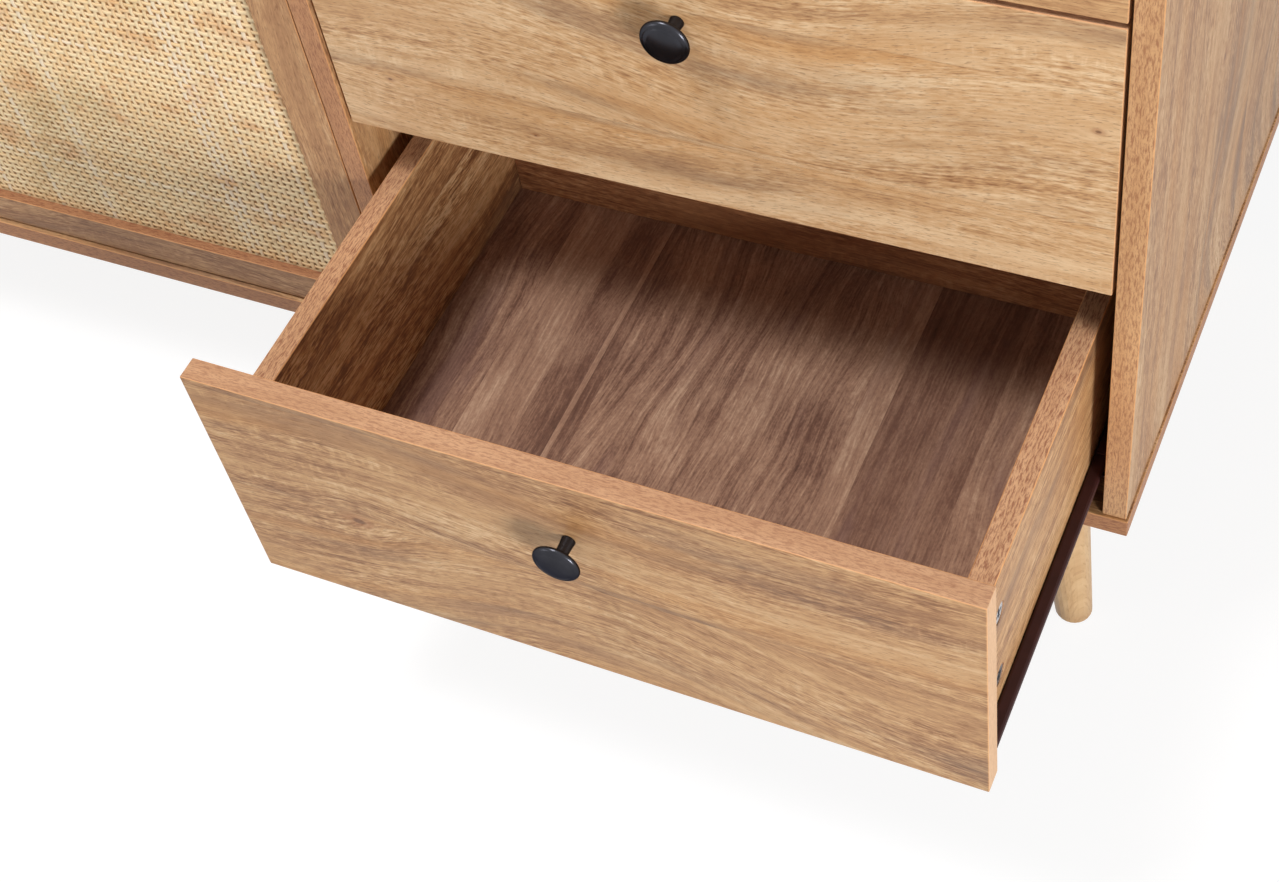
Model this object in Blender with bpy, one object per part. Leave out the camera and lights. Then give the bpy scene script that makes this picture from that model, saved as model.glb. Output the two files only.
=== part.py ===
"""Sideboard on splayed legs: two cane doors and a column of three drawers.

Units are metres and +Z is up. The front faces -Y and the drawers are at +X.
The origin is on the floor, under the middle of the space that the part fills
with its bottom drawer pulled out, which is how it rests.
"""

import math

import bmesh
import bpy
from mathutils import Matrix, Vector

for old in list(bpy.data.objects):
    bpy.data.objects.remove(old, do_unlink=True)

# Gap left between two pieces that touch
SEAT = 0.0003

# Case: boards, bays and the way the base and top stand proud of the uprights
BOARD = 0.015
BAY_COUNT = 3
DRAWER_BAY = BAY_COUNT - 1
BAY_WIDTH = 0.486
BAY_HEIGHT = 0.593
CASE_DEPTH = 0.400
END_LIP = 0.0015
FRONT_LIP = 0.0017
EDGE_ROUND = 0.0006
SHELF_HEIGHT = 0.290
SHELF_SETBACK = 0.020

# Back sheet, held in grooves
BACK_SHEET = 0.003
BACK_INSET = 0.010
BACK_GROOVE = 0.006

# Legs: turned, tapered and splayed, each under a steel plate
LEG_HEIGHT = 0.150
LEG_FOOT_RADIUS = 0.0125
LEG_TOP_RADIUS = 0.020
LEG_SPLAY_X = 0.020
LEG_SPLAY_Y = 0.016
LEG_INSET_X = 0.0594
LEG_INSET_Y = 0.048
LEG_FOOT_ROUND = 0.0015
PLATE_SIDE = 0.064
PLATE_THICK = 0.0025
PLATE_CORNER = 0.008
PLATE_SCREW_RADIUS = 0.0024
PLATE_SCREW_INSET = 0.008
CENTRE_LEG_RADIUS = 0.015
CENTRE_FOOT_RADIUS = 0.0175
CENTRE_FOOT_HEIGHT = 0.010

# Inset fronts: drawers and doors share one plane behind the uprights' edges
FRONT_SETBACK = 0.001
FRONT_THICK = 0.015

# Drawers: equal fronts share the bay's height, and the boxes stop short of the back sheet
DRAWER_NAMES = ("bottom", "middle", "top")
DRAWER_COUNT = len(DRAWER_NAMES)
DRAWER_FRONT_GAP = 0.0034
DRAWER_FIRST_GAP = 0.0081
DRAWER_TOP_GAP = 0.0039
DRAWER_SIDE_GAP = 0.0025
DRAWER_PULL = 0.2107
DRAWER_WALL = 0.015
DRAWER_WALL_LIFT = 0.0069
DRAWER_WALL_DROP = 0.0445
DRAWER_REAR_SPACE = 0.039
DRAWER_FLOOR = 0.004
DRAWER_FLOOR_LIFT = 0.012
DRAWER_GROOVE = 0.005
CAM_RADIUS = 0.0075
CAM_DEPTH = 0.0125
CAM_SETBACK = 0.034
CAM_SPACING = 0.064
CAM_LIFT = 0.0385

# Roller runners, bent from sheet; heights count from the drawer wall's lower edge
RUNNER_SPACE = 0.0125
RUNNER_SHORTFALL = 0.030
RUNNER_SHEET = 0.0012
RUNNER_BEND = 0.0012
RUNNER_SETBACK = 0.002
RUNNER_SHELF = 0.011
RUNNER_FLANGE_HEIGHT = 0.017
RUNNER_FLANGE_REACH = 0.009
RUNNER_LIP = 0.002
CHANNEL_TOP = 0.021
CHANNEL_RUN_GAP = 0.0008
ROLLER_RADIUS = 0.0082
ROLLER_WIDTH = 0.0050
ROLLER_CROWN = 0.0005
ROLLER_CLEARANCE = 0.0006
ROLLER_PIN_RADIUS = 0.002
ROLLER_END = 0.012

# Knobs: a turned head with a stepped face on a stem that widens towards the front
KNOB_RADIUS = 0.0145
KNOB_LENGTH = 0.0205
KNOB_HEAD = 0.0078
KNOB_CROWN = 0.0043
KNOB_FACE_RADIUS = 0.0108
KNOB_FACE_RISE = 0.0012
KNOB_STEP = 0.0005
KNOB_STEM_RADIUS = 0.0037
KNOB_BASE_RADIUS = 0.0043
KNOB_DROP = 0.052

# Doors: frame, rebate and cane
DOOR_GAP = 0.0019
DOOR_STILE = 0.0305
DOOR_RAIL = 0.026
DOOR_LIP = 0.0073
DOOR_REBATE = 0.006
CANE_THICK = 0.002
DOOR_KNOB_HEIGHT = 0.330

# Pivot pins at the top and bottom of each door's outer stile
PIVOT_INSET = 0.0075
PIVOT_SETBACK = 0.005
PIN_RADIUS = 0.0025
PIN_BORE_CLEARANCE = 0.0003
PIN_IN_DOOR = 0.012
PIN_IN_CASE = 0.008
PIN_COLLAR_RADIUS = 0.0042

# Facets of round pieces, and the bevel profile that is a true round
ROUND_PROFILE = 0.5
KNOB_SIDES = 24
LEG_SIDES = 24
BEND_STEPS = 2
ARRIS_STEPS = 2
ARC_STEPS = 4
ROLLER_SIDES = 18
PIN_SIDES = 14

# Places that follow from the sizes above
CASE_WIDTH = BAY_COUNT * BAY_WIDTH + (BAY_COUNT + 1) * BOARD + 2 * END_LIP
REACH = DRAWER_PULL + SEAT + KNOB_LENGTH - FRONT_LIP - FRONT_SETBACK
CASE_BACK = (CASE_DEPTH + REACH) / 2
CASE_FRONT = CASE_BACK - CASE_DEPTH
UPRIGHT_FRONT = CASE_FRONT + FRONT_LIP
FRONT_FACE = UPRIGHT_FRONT + FRONT_SETBACK
BASE_TOP = LEG_HEIGHT + BOARD
TOP_UNDERSIDE = BASE_TOP + BAY_HEIGHT
SHEET_REAR = CASE_BACK - BACK_INSET
SHEET_FRONT = SHEET_REAR - BACK_SHEET
CASE_END = CASE_WIDTH / 2
DRAWER_GAPS = DRAWER_FIRST_GAP + (DRAWER_COUNT - 1) * DRAWER_FRONT_GAP + DRAWER_TOP_GAP
DRAWER_FRONT_HEIGHT = (BAY_HEIGHT - DRAWER_GAPS) / DRAWER_COUNT
DRAWER_WALL_HEIGHT = DRAWER_FRONT_HEIGHT - DRAWER_WALL_LIFT - DRAWER_WALL_DROP
DRAWER_LENGTH = SHEET_FRONT - FRONT_FACE - FRONT_THICK - SEAT - DRAWER_REAR_SPACE
RUNNER_LENGTH = DRAWER_LENGTH - RUNNER_SHORTFALL

# Finishes: colour, roughness and metallic value
OAK = ((0.62, 0.42, 0.25), 0.55, 0.0)
OAK_DARK = ((0.30, 0.19, 0.12), 0.60, 0.0)
BIRCH = ((0.70, 0.52, 0.32), 0.50, 0.0)
CANE = ((0.80, 0.62, 0.38), 0.70, 0.0)
GUNMETAL = ((0.06, 0.06, 0.065), 0.25, 1.0)
BROWN_STEEL = ((0.05, 0.015, 0.012), 0.45, 0.0)
BRIGHT_STEEL = ((0.60, 0.60, 0.62), 0.30, 1.0)


def bay_left(index):
    """The inner face at the left of a bay; bays count from the left end."""
    return -CASE_END + END_LIP + BOARD + index * (BAY_WIDTH + BOARD)


def finish(piece, look):
    """Give a piece its own material."""
    colour, roughness, metallic = look
    material = bpy.data.materials.new(piece.name)
    material.use_nodes = True
    shader = material.node_tree.nodes["Principled BSDF"]
    shader.inputs["Base Color"].default_value = (*colour, 1.0)
    shader.inputs["Roughness"].default_value = roughness
    shader.inputs["Metallic"].default_value = metallic
    piece.data.materials.append(material)


def place(mesh_builder, name, location, parent=None):
    """Turn a bmesh into an object whose origin is at a world location."""
    mesh = bpy.data.meshes.new(name)
    bmesh.ops.recalc_face_normals(mesh_builder, faces=mesh_builder.faces)
    mesh_builder.to_mesh(mesh)
    mesh_builder.free()
    piece = bpy.data.objects.new(name, mesh)
    bpy.context.collection.objects.link(piece)
    piece.location = Vector(location)
    if parent is not None:
        piece.parent = parent
        piece.location -= parent.location
    return piece


def axis_empty(name, location):
    """An empty that carries the pieces of one moving body."""
    carrier = bpy.data.objects.new(name, None)
    bpy.context.collection.objects.link(carrier)
    carrier.location = location
    return carrier


def box_mesh(low, high):
    """A closed box about its own middle, and that middle."""
    low = Vector(low)
    high = Vector(high)
    shape = bmesh.new()
    bmesh.ops.create_cube(shape, size=1.0)
    bmesh.ops.scale(shape, vec=high - low, verts=shape.verts)
    return shape, (low + high) / 2


def board(name, low, high, look, parent=None, steps=1):
    """A board between two corners, with its arrises eased."""
    shape, middle = box_mesh(low, high)
    piece = place(shape, name, middle, parent)
    finish(piece, look)
    ease = piece.modifiers.new("eased_arrises", "BEVEL")
    ease.width = EDGE_ROUND
    ease.segments = steps
    ease.limit_method = "ANGLE"
    return piece


def as_tool(tool, piece, operation):
    """Use one object to cut or build up another, and leave it out of the part."""
    tool.hide_render = True
    tool.display_type = "WIRE"
    step = piece.modifiers.new(tool.name, "BOOLEAN")
    step.operation = operation
    step.solver = "EXACT"
    step.object = tool


def cut_box(piece, label, low, high):
    """Cut a groove, rebate or notch between two world corners."""
    shape, middle = box_mesh(low, high)
    tool = place(shape, f"{piece.name}_{label}_tool", middle, piece.parent)
    as_tool(tool, piece, "DIFFERENCE")


def cylinder_mesh(radius, length, axis, sides):
    """A closed cylinder about its middle, along the named axis."""
    shape = bmesh.new()
    bmesh.ops.create_cone(
        shape, cap_ends=True, segments=sides, radius1=radius, radius2=radius, depth=length
    )
    turns = {"X": Matrix.Rotation(math.pi / 2, 3, "Y"), "Y": Matrix.Rotation(math.pi / 2, 3, "X")}
    if axis in turns:
        bmesh.ops.rotate(shape, matrix=turns[axis], verts=shape.verts)
    return shape


def cut_bore(piece, label, middle, radius, length, axis, sides):
    """Drill a round hole whose drill is centred on a world point."""
    shape = cylinder_mesh(radius, length, axis, sides)
    tool = place(shape, f"{piece.name}_{label}_tool", middle, piece.parent)
    as_tool(tool, piece, "DIFFERENCE")


def prism_mesh(outline, length):
    """Extrude an outline of (x, z) points backwards from y = 0."""
    shape = bmesh.new()
    corners = [shape.verts.new((x, 0.0, z)) for x, z in outline]
    face = shape.faces.new(corners)
    grown = bmesh.ops.extrude_face_region(shape, geom=[face])
    moved = [item for item in grown["geom"] if isinstance(item, bmesh.types.BMVert)]
    bmesh.ops.translate(shape, vec=(0.0, length, 0.0), verts=moved)
    return shape


def bent_sheet(route, thick, bend):
    """The outline of a sheet folded along its middle line, with a round bend at each corner."""
    points = [Vector(point) for point in route]
    near, far = [], []
    for index, point in enumerate(points):
        before = (point - points[index - 1]).normalized() if index else None
        after = (points[index + 1] - point).normalized() if index + 1 < len(points) else None
        if before is None or after is None:
            along = before or after
            aside = Vector((-along.y, along.x)) * thick / 2
            near.append(point + aside)
            far.append(point - aside)
            continue
        turn = 1 if before.x * after.y - before.y * after.x > 0 else -1
        centre = point + (after - before) * bend
        for step in range(BEND_STEPS + 1):
            spoke = (before - after).normalized()
            spoke = Matrix.Rotation(turn * math.radians(90 * step / BEND_STEPS - 45), 2) @ spoke
            outer = centre + spoke * (bend + thick / 2)
            inner = centre + spoke * (bend - thick / 2)
            near.append(inner if turn > 0 else outer)
            far.append(outer if turn > 0 else inner)
    return [tuple(point) for point in near + far[::-1]]


def turned_mesh(profile, sides):
    """Turn a profile of (radius, height) points, both ends on the axis, about Z."""
    shape = bmesh.new()
    points = [shape.verts.new((radius, 0.0, height)) for radius, height in profile]
    edges = [shape.edges.new(pair) for pair in zip(points, points[1:])]
    bmesh.ops.spin(
        shape, geom=points + edges, cent=(0, 0, 0), axis=(0, 0, 1),
        angle=math.tau, steps=sides, use_merge=True, use_duplicate=False,
    )
    bmesh.ops.remove_doubles(shape, verts=shape.verts, dist=1e-6)
    return shape


def smooth(piece, angle=35):
    """Shade round faces smooth and keep real corners sharp."""
    piece.data.shade_smooth()
    piece.data.set_sharp_from_angle(angle=math.radians(angle))


def arc(centre, radii, start, stop):
    """Points on an oval arc, angles in degrees."""
    for step in range(ARC_STEPS + 1):
        angle = math.radians(start + (stop - start) * step / ARC_STEPS)
        yield centre[0] + radii[0] * math.cos(angle), centre[1] + radii[1] * math.sin(angle)


# The case: panels, uprights, shelves and back sheet


def end_panels():
    """Base and top run the full width and hold the back sheet in a stopped groove."""
    panels = {}
    for name, low_z, groove_z in (
        ("base_panel", LEG_HEIGHT, BASE_TOP),
        ("top_panel", TOP_UNDERSIDE, TOP_UNDERSIDE),
    ):
        panel = board(
            name,
            (-CASE_END, CASE_FRONT, low_z),
            (CASE_END, CASE_BACK, low_z + BOARD),
            OAK,
            steps=ARRIS_STEPS,
        )
        groove_end = CASE_END - END_LIP - BOARD + BACK_GROOVE
        cut_box(
            panel,
            "sheet_groove",
            (-groove_end, SHEET_FRONT - SEAT, groove_z - BACK_GROOVE),
            (groove_end, SHEET_REAR + SEAT, groove_z + BACK_GROOVE),
        )
        panels[name] = panel
    return panels


def uprights():
    """Two grooved sides, and dividers that stop at the back sheet."""
    low_z = BASE_TOP + SEAT
    high_z = TOP_UNDERSIDE - SEAT
    for name, inner, outward in (
        ("left_side_panel", bay_left(0), -1),
        ("right_side_panel", bay_left(0) + CASE_WIDTH - 2 * (END_LIP + BOARD), 1),
    ):
        outer = inner + outward * BOARD
        side = board(
            name,
            (min(inner, outer), UPRIGHT_FRONT, low_z),
            (max(inner, outer), CASE_BACK, high_z),
            OAK,
            steps=ARRIS_STEPS,
        )
        cut_box(
            side,
            "sheet_groove",
            (inner - BACK_GROOVE, SHEET_FRONT - SEAT, low_z - BOARD),
            (inner + BACK_GROOVE, SHEET_REAR + SEAT, high_z + BOARD),
        )
    for index in range(1, BAY_COUNT):
        board(
            f"divider_{index}",
            (bay_left(index) - BOARD, UPRIGHT_FRONT, low_z),
            (bay_left(index), SHEET_FRONT - SEAT, high_z),
            OAK,
            steps=ARRIS_STEPS,
        )


def shelves():
    """One fixed shelf between the uprights of each bay that has a door."""
    for index in range(BAY_COUNT):
        if index == DRAWER_BAY:
            continue
        board(
            f"shelf_{index + 1}",
            (bay_left(index) + SEAT, FRONT_FACE + FRONT_THICK + SHELF_SETBACK, BASE_TOP + SHELF_HEIGHT),
            (bay_left(index) + BAY_WIDTH - SEAT, SHEET_FRONT - SEAT, BASE_TOP + SHELF_HEIGHT + BOARD),
            OAK_DARK,
        )


def back_sheet():
    """One thin sheet across every bay, in the grooves of all four outer panels."""
    end = CASE_END - END_LIP - BOARD + BACK_GROOVE - SEAT
    shape, middle = box_mesh(
        (-end, SHEET_FRONT, BASE_TOP - BACK_GROOVE + SEAT),
        (end, SHEET_REAR, TOP_UNDERSIDE + BACK_GROOVE - SEAT),
    )
    finish(place(shape, "back_panel", middle), OAK_DARK)


# Legs


def plate_mesh():
    """A square plate with round corners, its top face at z = 0."""
    half = PLATE_SIDE / 2
    outline = []
    for quarter in range(4):
        turn = math.radians(90 * quarter)
        for x, y in arc((half - PLATE_CORNER, half - PLATE_CORNER), (PLATE_CORNER, PLATE_CORNER), 0, 90):
            outline.append(
                (x * math.cos(turn) - y * math.sin(turn), x * math.sin(turn) + y * math.cos(turn))
            )
    shape = prism_mesh(outline, PLATE_THICK)
    bmesh.ops.rotate(shape, matrix=Matrix.Rotation(math.pi / 2, 3, "X"), verts=shape.verts)
    bmesh.ops.translate(shape, vec=(0, 0, -PLATE_THICK), verts=shape.verts)
    return shape


def drill_plate(leg, top):
    """Four screw holes near the plate's corners."""
    reach = PLATE_SIDE / 2 - PLATE_SCREW_INSET
    for along in (-1, 1):
        for across in (-1, 1):
            cut_bore(
                leg,
                f"screw_{along}_{across}",
                top + Vector((along * reach, across * reach, -PLATE_THICK / 2)),
                PLATE_SCREW_RADIUS,
                2 * PLATE_THICK,
                "Z",
                PIN_SIDES,
            )


def splayed_leg(name, outward_x, outward_y):
    """A tapered leg, cut level at the floor and under its plate."""
    top = Vector((
        outward_x * (CASE_END - LEG_INSET_X),
        (CASE_FRONT + CASE_BACK) / 2 + outward_y * (CASE_DEPTH / 2 - LEG_INSET_Y),
        LEG_HEIGHT - SEAT,
    ))
    foot = Vector((top.x + outward_x * LEG_SPLAY_X, top.y + outward_y * LEG_SPLAY_Y, 0.0))
    along = (top - foot).normalized()
    length = (top - foot).length
    taper = (LEG_TOP_RADIUS - LEG_FOOT_RADIUS) / length
    spare = LEG_TOP_RADIUS
    shape = turned_mesh(
        [
            (0.0, -spare),
            (LEG_FOOT_RADIUS - taper * spare, -spare),
            (LEG_TOP_RADIUS, length),
            (LEG_TOP_RADIUS, length + spare),
            (0.0, length + spare),
        ],
        LEG_SIDES,
    )
    bmesh.ops.rotate(shape, matrix=along.to_track_quat("Z", "Y").to_matrix(), verts=shape.verts)
    for height, keep in ((0.0, -1), (LEG_HEIGHT - SEAT - PLATE_THICK / 2, 1)):
        everything = shape.verts[:] + shape.edges[:] + shape.faces[:]
        cut = bmesh.ops.bisect_plane(
            shape, geom=everything, plane_co=(0, 0, height), plane_no=(0, 0, keep), clear_outer=True
        )
        rim = [item for item in cut["geom_cut"] if isinstance(item, bmesh.types.BMEdge)]
        bmesh.ops.edgeloop_fill(shape, edges=rim)
    floor_rim = [edge for edge in shape.edges if all(abs(vert.co.z) < 1e-6 for vert in edge.verts)]
    bmesh.ops.bevel(
        shape, geom=floor_rim, offset=LEG_FOOT_ROUND, segments=ARRIS_STEPS,
        profile=ROUND_PROFILE, affect="EDGES",
    )
    leg = place(shape, name, foot)
    finish(leg, BIRCH)
    smooth(leg)
    as_tool(place(plate_mesh(), f"{name}_plate_tool", top), leg, "UNION")
    drill_plate(leg, top)


def centre_leg():
    """A straight support under the middle of the base, with a wider foot."""
    top = Vector((0.0, (CASE_FRONT + CASE_BACK) / 2, LEG_HEIGHT - SEAT))
    shape = turned_mesh(
        [
            (0.0, 0.0),
            (CENTRE_FOOT_RADIUS - LEG_FOOT_ROUND, 0.0),
            (CENTRE_FOOT_RADIUS, LEG_FOOT_ROUND),
            (CENTRE_FOOT_RADIUS, CENTRE_FOOT_HEIGHT),
            (CENTRE_LEG_RADIUS, CENTRE_FOOT_HEIGHT),
            (CENTRE_LEG_RADIUS, top.z - PLATE_THICK / 2),
            (0.0, top.z - PLATE_THICK / 2),
        ],
        LEG_SIDES,
    )
    leg = place(shape, "centre_leg", (top.x, top.y, 0.0))
    finish(leg, BIRCH)
    smooth(leg)
    as_tool(place(plate_mesh(), "centre_leg_plate_tool", top), leg, "UNION")
    drill_plate(leg, top)


# Knobs


def knob(name, middle, parent):
    """A turned knob whose stem stands on a front, at a world point of its face."""
    neck = KNOB_LENGTH - KNOB_HEAD
    rim = KNOB_LENGTH - KNOB_CROWN
    face_edge = KNOB_LENGTH - KNOB_FACE_RISE
    under = arc((KNOB_STEM_RADIUS, rim), (KNOB_RADIUS - KNOB_STEM_RADIUS, KNOB_HEAD - KNOB_CROWN), -90, 0)
    ledge = KNOB_FACE_RADIUS + KNOB_STEP
    shoulder = arc((ledge, rim), (KNOB_RADIUS - ledge, face_edge - KNOB_STEP - rim), 0, 90)
    profile = [(0.0, 0.0), (KNOB_BASE_RADIUS, 0.0), *under, *list(shoulder)[1:]]
    for step in range(ARC_STEPS):
        share = 1 - step / ARC_STEPS
        profile.append((KNOB_FACE_RADIUS * share, face_edge + KNOB_FACE_RISE * (1 - share * share)))
    profile.append((0.0, KNOB_LENGTH))
    shape = turned_mesh(profile, KNOB_SIDES)
    bmesh.ops.rotate(shape, matrix=Matrix.Rotation(math.pi / 2, 3, "X"), verts=shape.verts)
    piece = place(shape, name, middle + Vector((0.0, -SEAT, 0.0)), parent)
    finish(piece, GUNMETAL)
    smooth(piece)


# Drawers and their runners


def drawer_base(index):
    """The height of the lower edge of a drawer's front; drawers count from the bottom."""
    return BASE_TOP + DRAWER_FIRST_GAP + index * (DRAWER_FRONT_HEIGHT + DRAWER_FRONT_GAP)


def roller_mesh():
    """A crowned roller on the X axis."""
    half = ROLLER_WIDTH / 2
    edge = ROLLER_RADIUS - ROLLER_CROWN
    shape = turned_mesh(
        [
            (0.0, -half),
            (edge, -half),
            (ROLLER_RADIUS, -half / 2),
            (ROLLER_RADIUS, half / 2),
            (edge, half),
            (0.0, half),
        ],
        ROLLER_SIDES,
    )
    bmesh.ops.rotate(shape, matrix=Matrix.Rotation(math.pi / 2, 3, "Y"), verts=shape.verts)
    return shape


def add_roller(runner, corner, outward, along, lift, pin_low, pin_high):
    """Join a roller and its pin to a runner; distances count out from a drawer wall."""
    roller_middle = SEAT + RUNNER_SHEET + CHANNEL_RUN_GAP + ROLLER_WIDTH / 2
    roller_at = corner + Vector((outward * roller_middle, along, lift))
    as_tool(place(roller_mesh(), f"{runner.name}_roller_tool", roller_at, runner.parent), runner, "UNION")
    pin_at = corner + Vector((outward * (pin_low + pin_high) / 2, along, lift))
    pin = cylinder_mesh(ROLLER_PIN_RADIUS, pin_high - pin_low, "X", PIN_SIDES)
    as_tool(place(pin, f"{runner.name}_pin_tool", pin_at, runner.parent), runner, "UNION")


def drawer_runner(name, corner, outward, parent):
    """The moving member: a shelf under the wall, a wall beside it and an outer flange."""
    sheet = RUNNER_SHEET
    top = RUNNER_FLANGE_HEIGHT
    reach = RUNNER_FLANGE_REACH
    half = sheet / 2
    route = [
        (-RUNNER_SHELF, -SEAT - half),
        (SEAT + half, -SEAT - half),
        (SEAT + half, top - half),
        (reach - half, top - half),
        (reach - half, top - sheet - RUNNER_LIP),
    ]
    outline = bent_sheet(route, sheet, RUNNER_BEND)
    shape = prism_mesh([(outward * x, z) for x, z in outline], RUNNER_LENGTH)
    start = corner + Vector((0.0, RUNNER_SETBACK, 0.0))
    runner = place(shape, name, start, parent)
    finish(runner, BROWN_STEEL)
    lift = top - sheet - ROLLER_CLEARANCE - ROLLER_RADIUS
    roller_reach = SEAT + sheet + CHANNEL_RUN_GAP + ROLLER_WIDTH
    add_roller(runner, start, outward, RUNNER_LENGTH - ROLLER_END, lift, SEAT + sheet / 2, roller_reach)


def case_runner(name, corner, outward):
    """The fixed member: a channel on the bay's wall, with a roller at its front end."""
    sheet = RUNNER_SHEET
    wall = RUNNER_SPACE - SEAT
    inner = SEAT + sheet + CHANNEL_RUN_GAP
    drawer_lift = RUNNER_FLANGE_HEIGHT - sheet - ROLLER_CLEARANCE - ROLLER_RADIUS
    track = drawer_lift - ROLLER_RADIUS - SEAT
    half = sheet / 2
    route = [
        (inner, track - half),
        (wall - half, track - half),
        (wall - half, CHANNEL_TOP - half),
        (inner, CHANNEL_TOP - half),
    ]
    outline = bent_sheet(route, sheet, RUNNER_BEND)
    shape = prism_mesh([(outward * x, z) for x, z in outline], RUNNER_LENGTH)
    start = corner + Vector((0.0, RUNNER_SETBACK, 0.0))
    runner = place(shape, name, start)
    finish(runner, BROWN_STEEL)
    lift = RUNNER_FLANGE_HEIGHT - sheet - SEAT - ROLLER_RADIUS
    add_roller(runner, start, outward, ROLLER_END, lift, inner, wall - sheet / 2)


def drawer(index):
    """A front, two walls, a back and a floor in grooves, on a pair of runners."""
    label = f"{DRAWER_NAMES[index]}_drawer"
    pull = DRAWER_PULL if index == 0 else 0.0
    left = bay_left(DRAWER_BAY)
    right = left + BAY_WIDTH
    middle_x = (left + right) / 2
    low = drawer_base(index)
    face = FRONT_FACE - pull
    back_of_front = face + FRONT_THICK
    body = axis_empty(label, (middle_x, face, low))

    front = board(
        f"{label}_front",
        (left + DRAWER_SIDE_GAP, face, low),
        (right - DRAWER_SIDE_GAP, back_of_front, low + DRAWER_FRONT_HEIGHT),
        OAK,
        body,
        steps=ARRIS_STEPS,
    )
    knob_at = Vector((middle_x, face, low + DRAWER_FRONT_HEIGHT - KNOB_DROP))
    knob(f"{label}_knob", knob_at, body)

    wall_low = low + DRAWER_WALL_LIFT
    wall_high = wall_low + DRAWER_WALL_HEIGHT
    wall_start = back_of_front + SEAT
    wall_end = wall_start + DRAWER_LENGTH
    outer = {-1: left + RUNNER_SPACE, 1: right - RUNNER_SPACE}
    inner = {way: outer[way] - way * DRAWER_WALL for way in outer}
    floor_low = wall_low + DRAWER_FLOOR_LIFT
    floor_high = floor_low + DRAWER_FLOOR
    groove_left = inner[-1] - DRAWER_GROOVE
    groove_right = inner[1] + DRAWER_GROOVE
    groove_low = (groove_left, back_of_front - DRAWER_GROOVE, floor_low - SEAT)
    groove_high = (groove_right, wall_end + SEAT, floor_high + SEAT)

    back = board(
        f"{label}_back",
        (inner[-1] + SEAT, wall_end - DRAWER_WALL, wall_low),
        (inner[1] - SEAT, wall_end, wall_high),
        OAK_DARK,
        body,
    )
    back_groove_end = wall_end - DRAWER_WALL + DRAWER_GROOVE
    cut_box(front, "floor_groove", groove_low, groove_high)
    cut_box(back, "floor_groove", groove_low, (groove_high[0], back_groove_end, groove_high[2]))

    for way, side_name in ((-1, "left"), (1, "right")):
        wall = board(
            f"{label}_{side_name}_wall",
            (min(inner[way], outer[way]), wall_start, wall_low),
            (max(inner[way], outer[way]), wall_end, wall_high),
            OAK,
            body,
        )
        cut_box(wall, "floor_groove", groove_low, groove_high)
        for step in range(2):
            cut_bore(
                wall,
                f"cam_{step + 1}",
                (outer[way], wall_start + CAM_SETBACK, wall_low + CAM_LIFT + step * CAM_SPACING),
                CAM_RADIUS,
                2 * CAM_DEPTH,
                "X",
                LEG_SIDES,
            )
        corner = Vector((outer[way], wall_start, wall_low))
        drawer_runner(f"{label}_{side_name}_runner", corner, way, body)
        closed = corner + Vector((0.0, pull, 0.0))
        case_runner(f"case_{side_name}_runner_{index + 1}", closed, way)

    shape, middle = box_mesh(
        (groove_left + SEAT, back_of_front - DRAWER_GROOVE + SEAT, floor_low),
        (groove_right - SEAT, back_groove_end - SEAT, floor_high),
    )
    finish(place(shape, f"{label}_floor", middle, body), OAK_DARK)


# Doors


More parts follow.
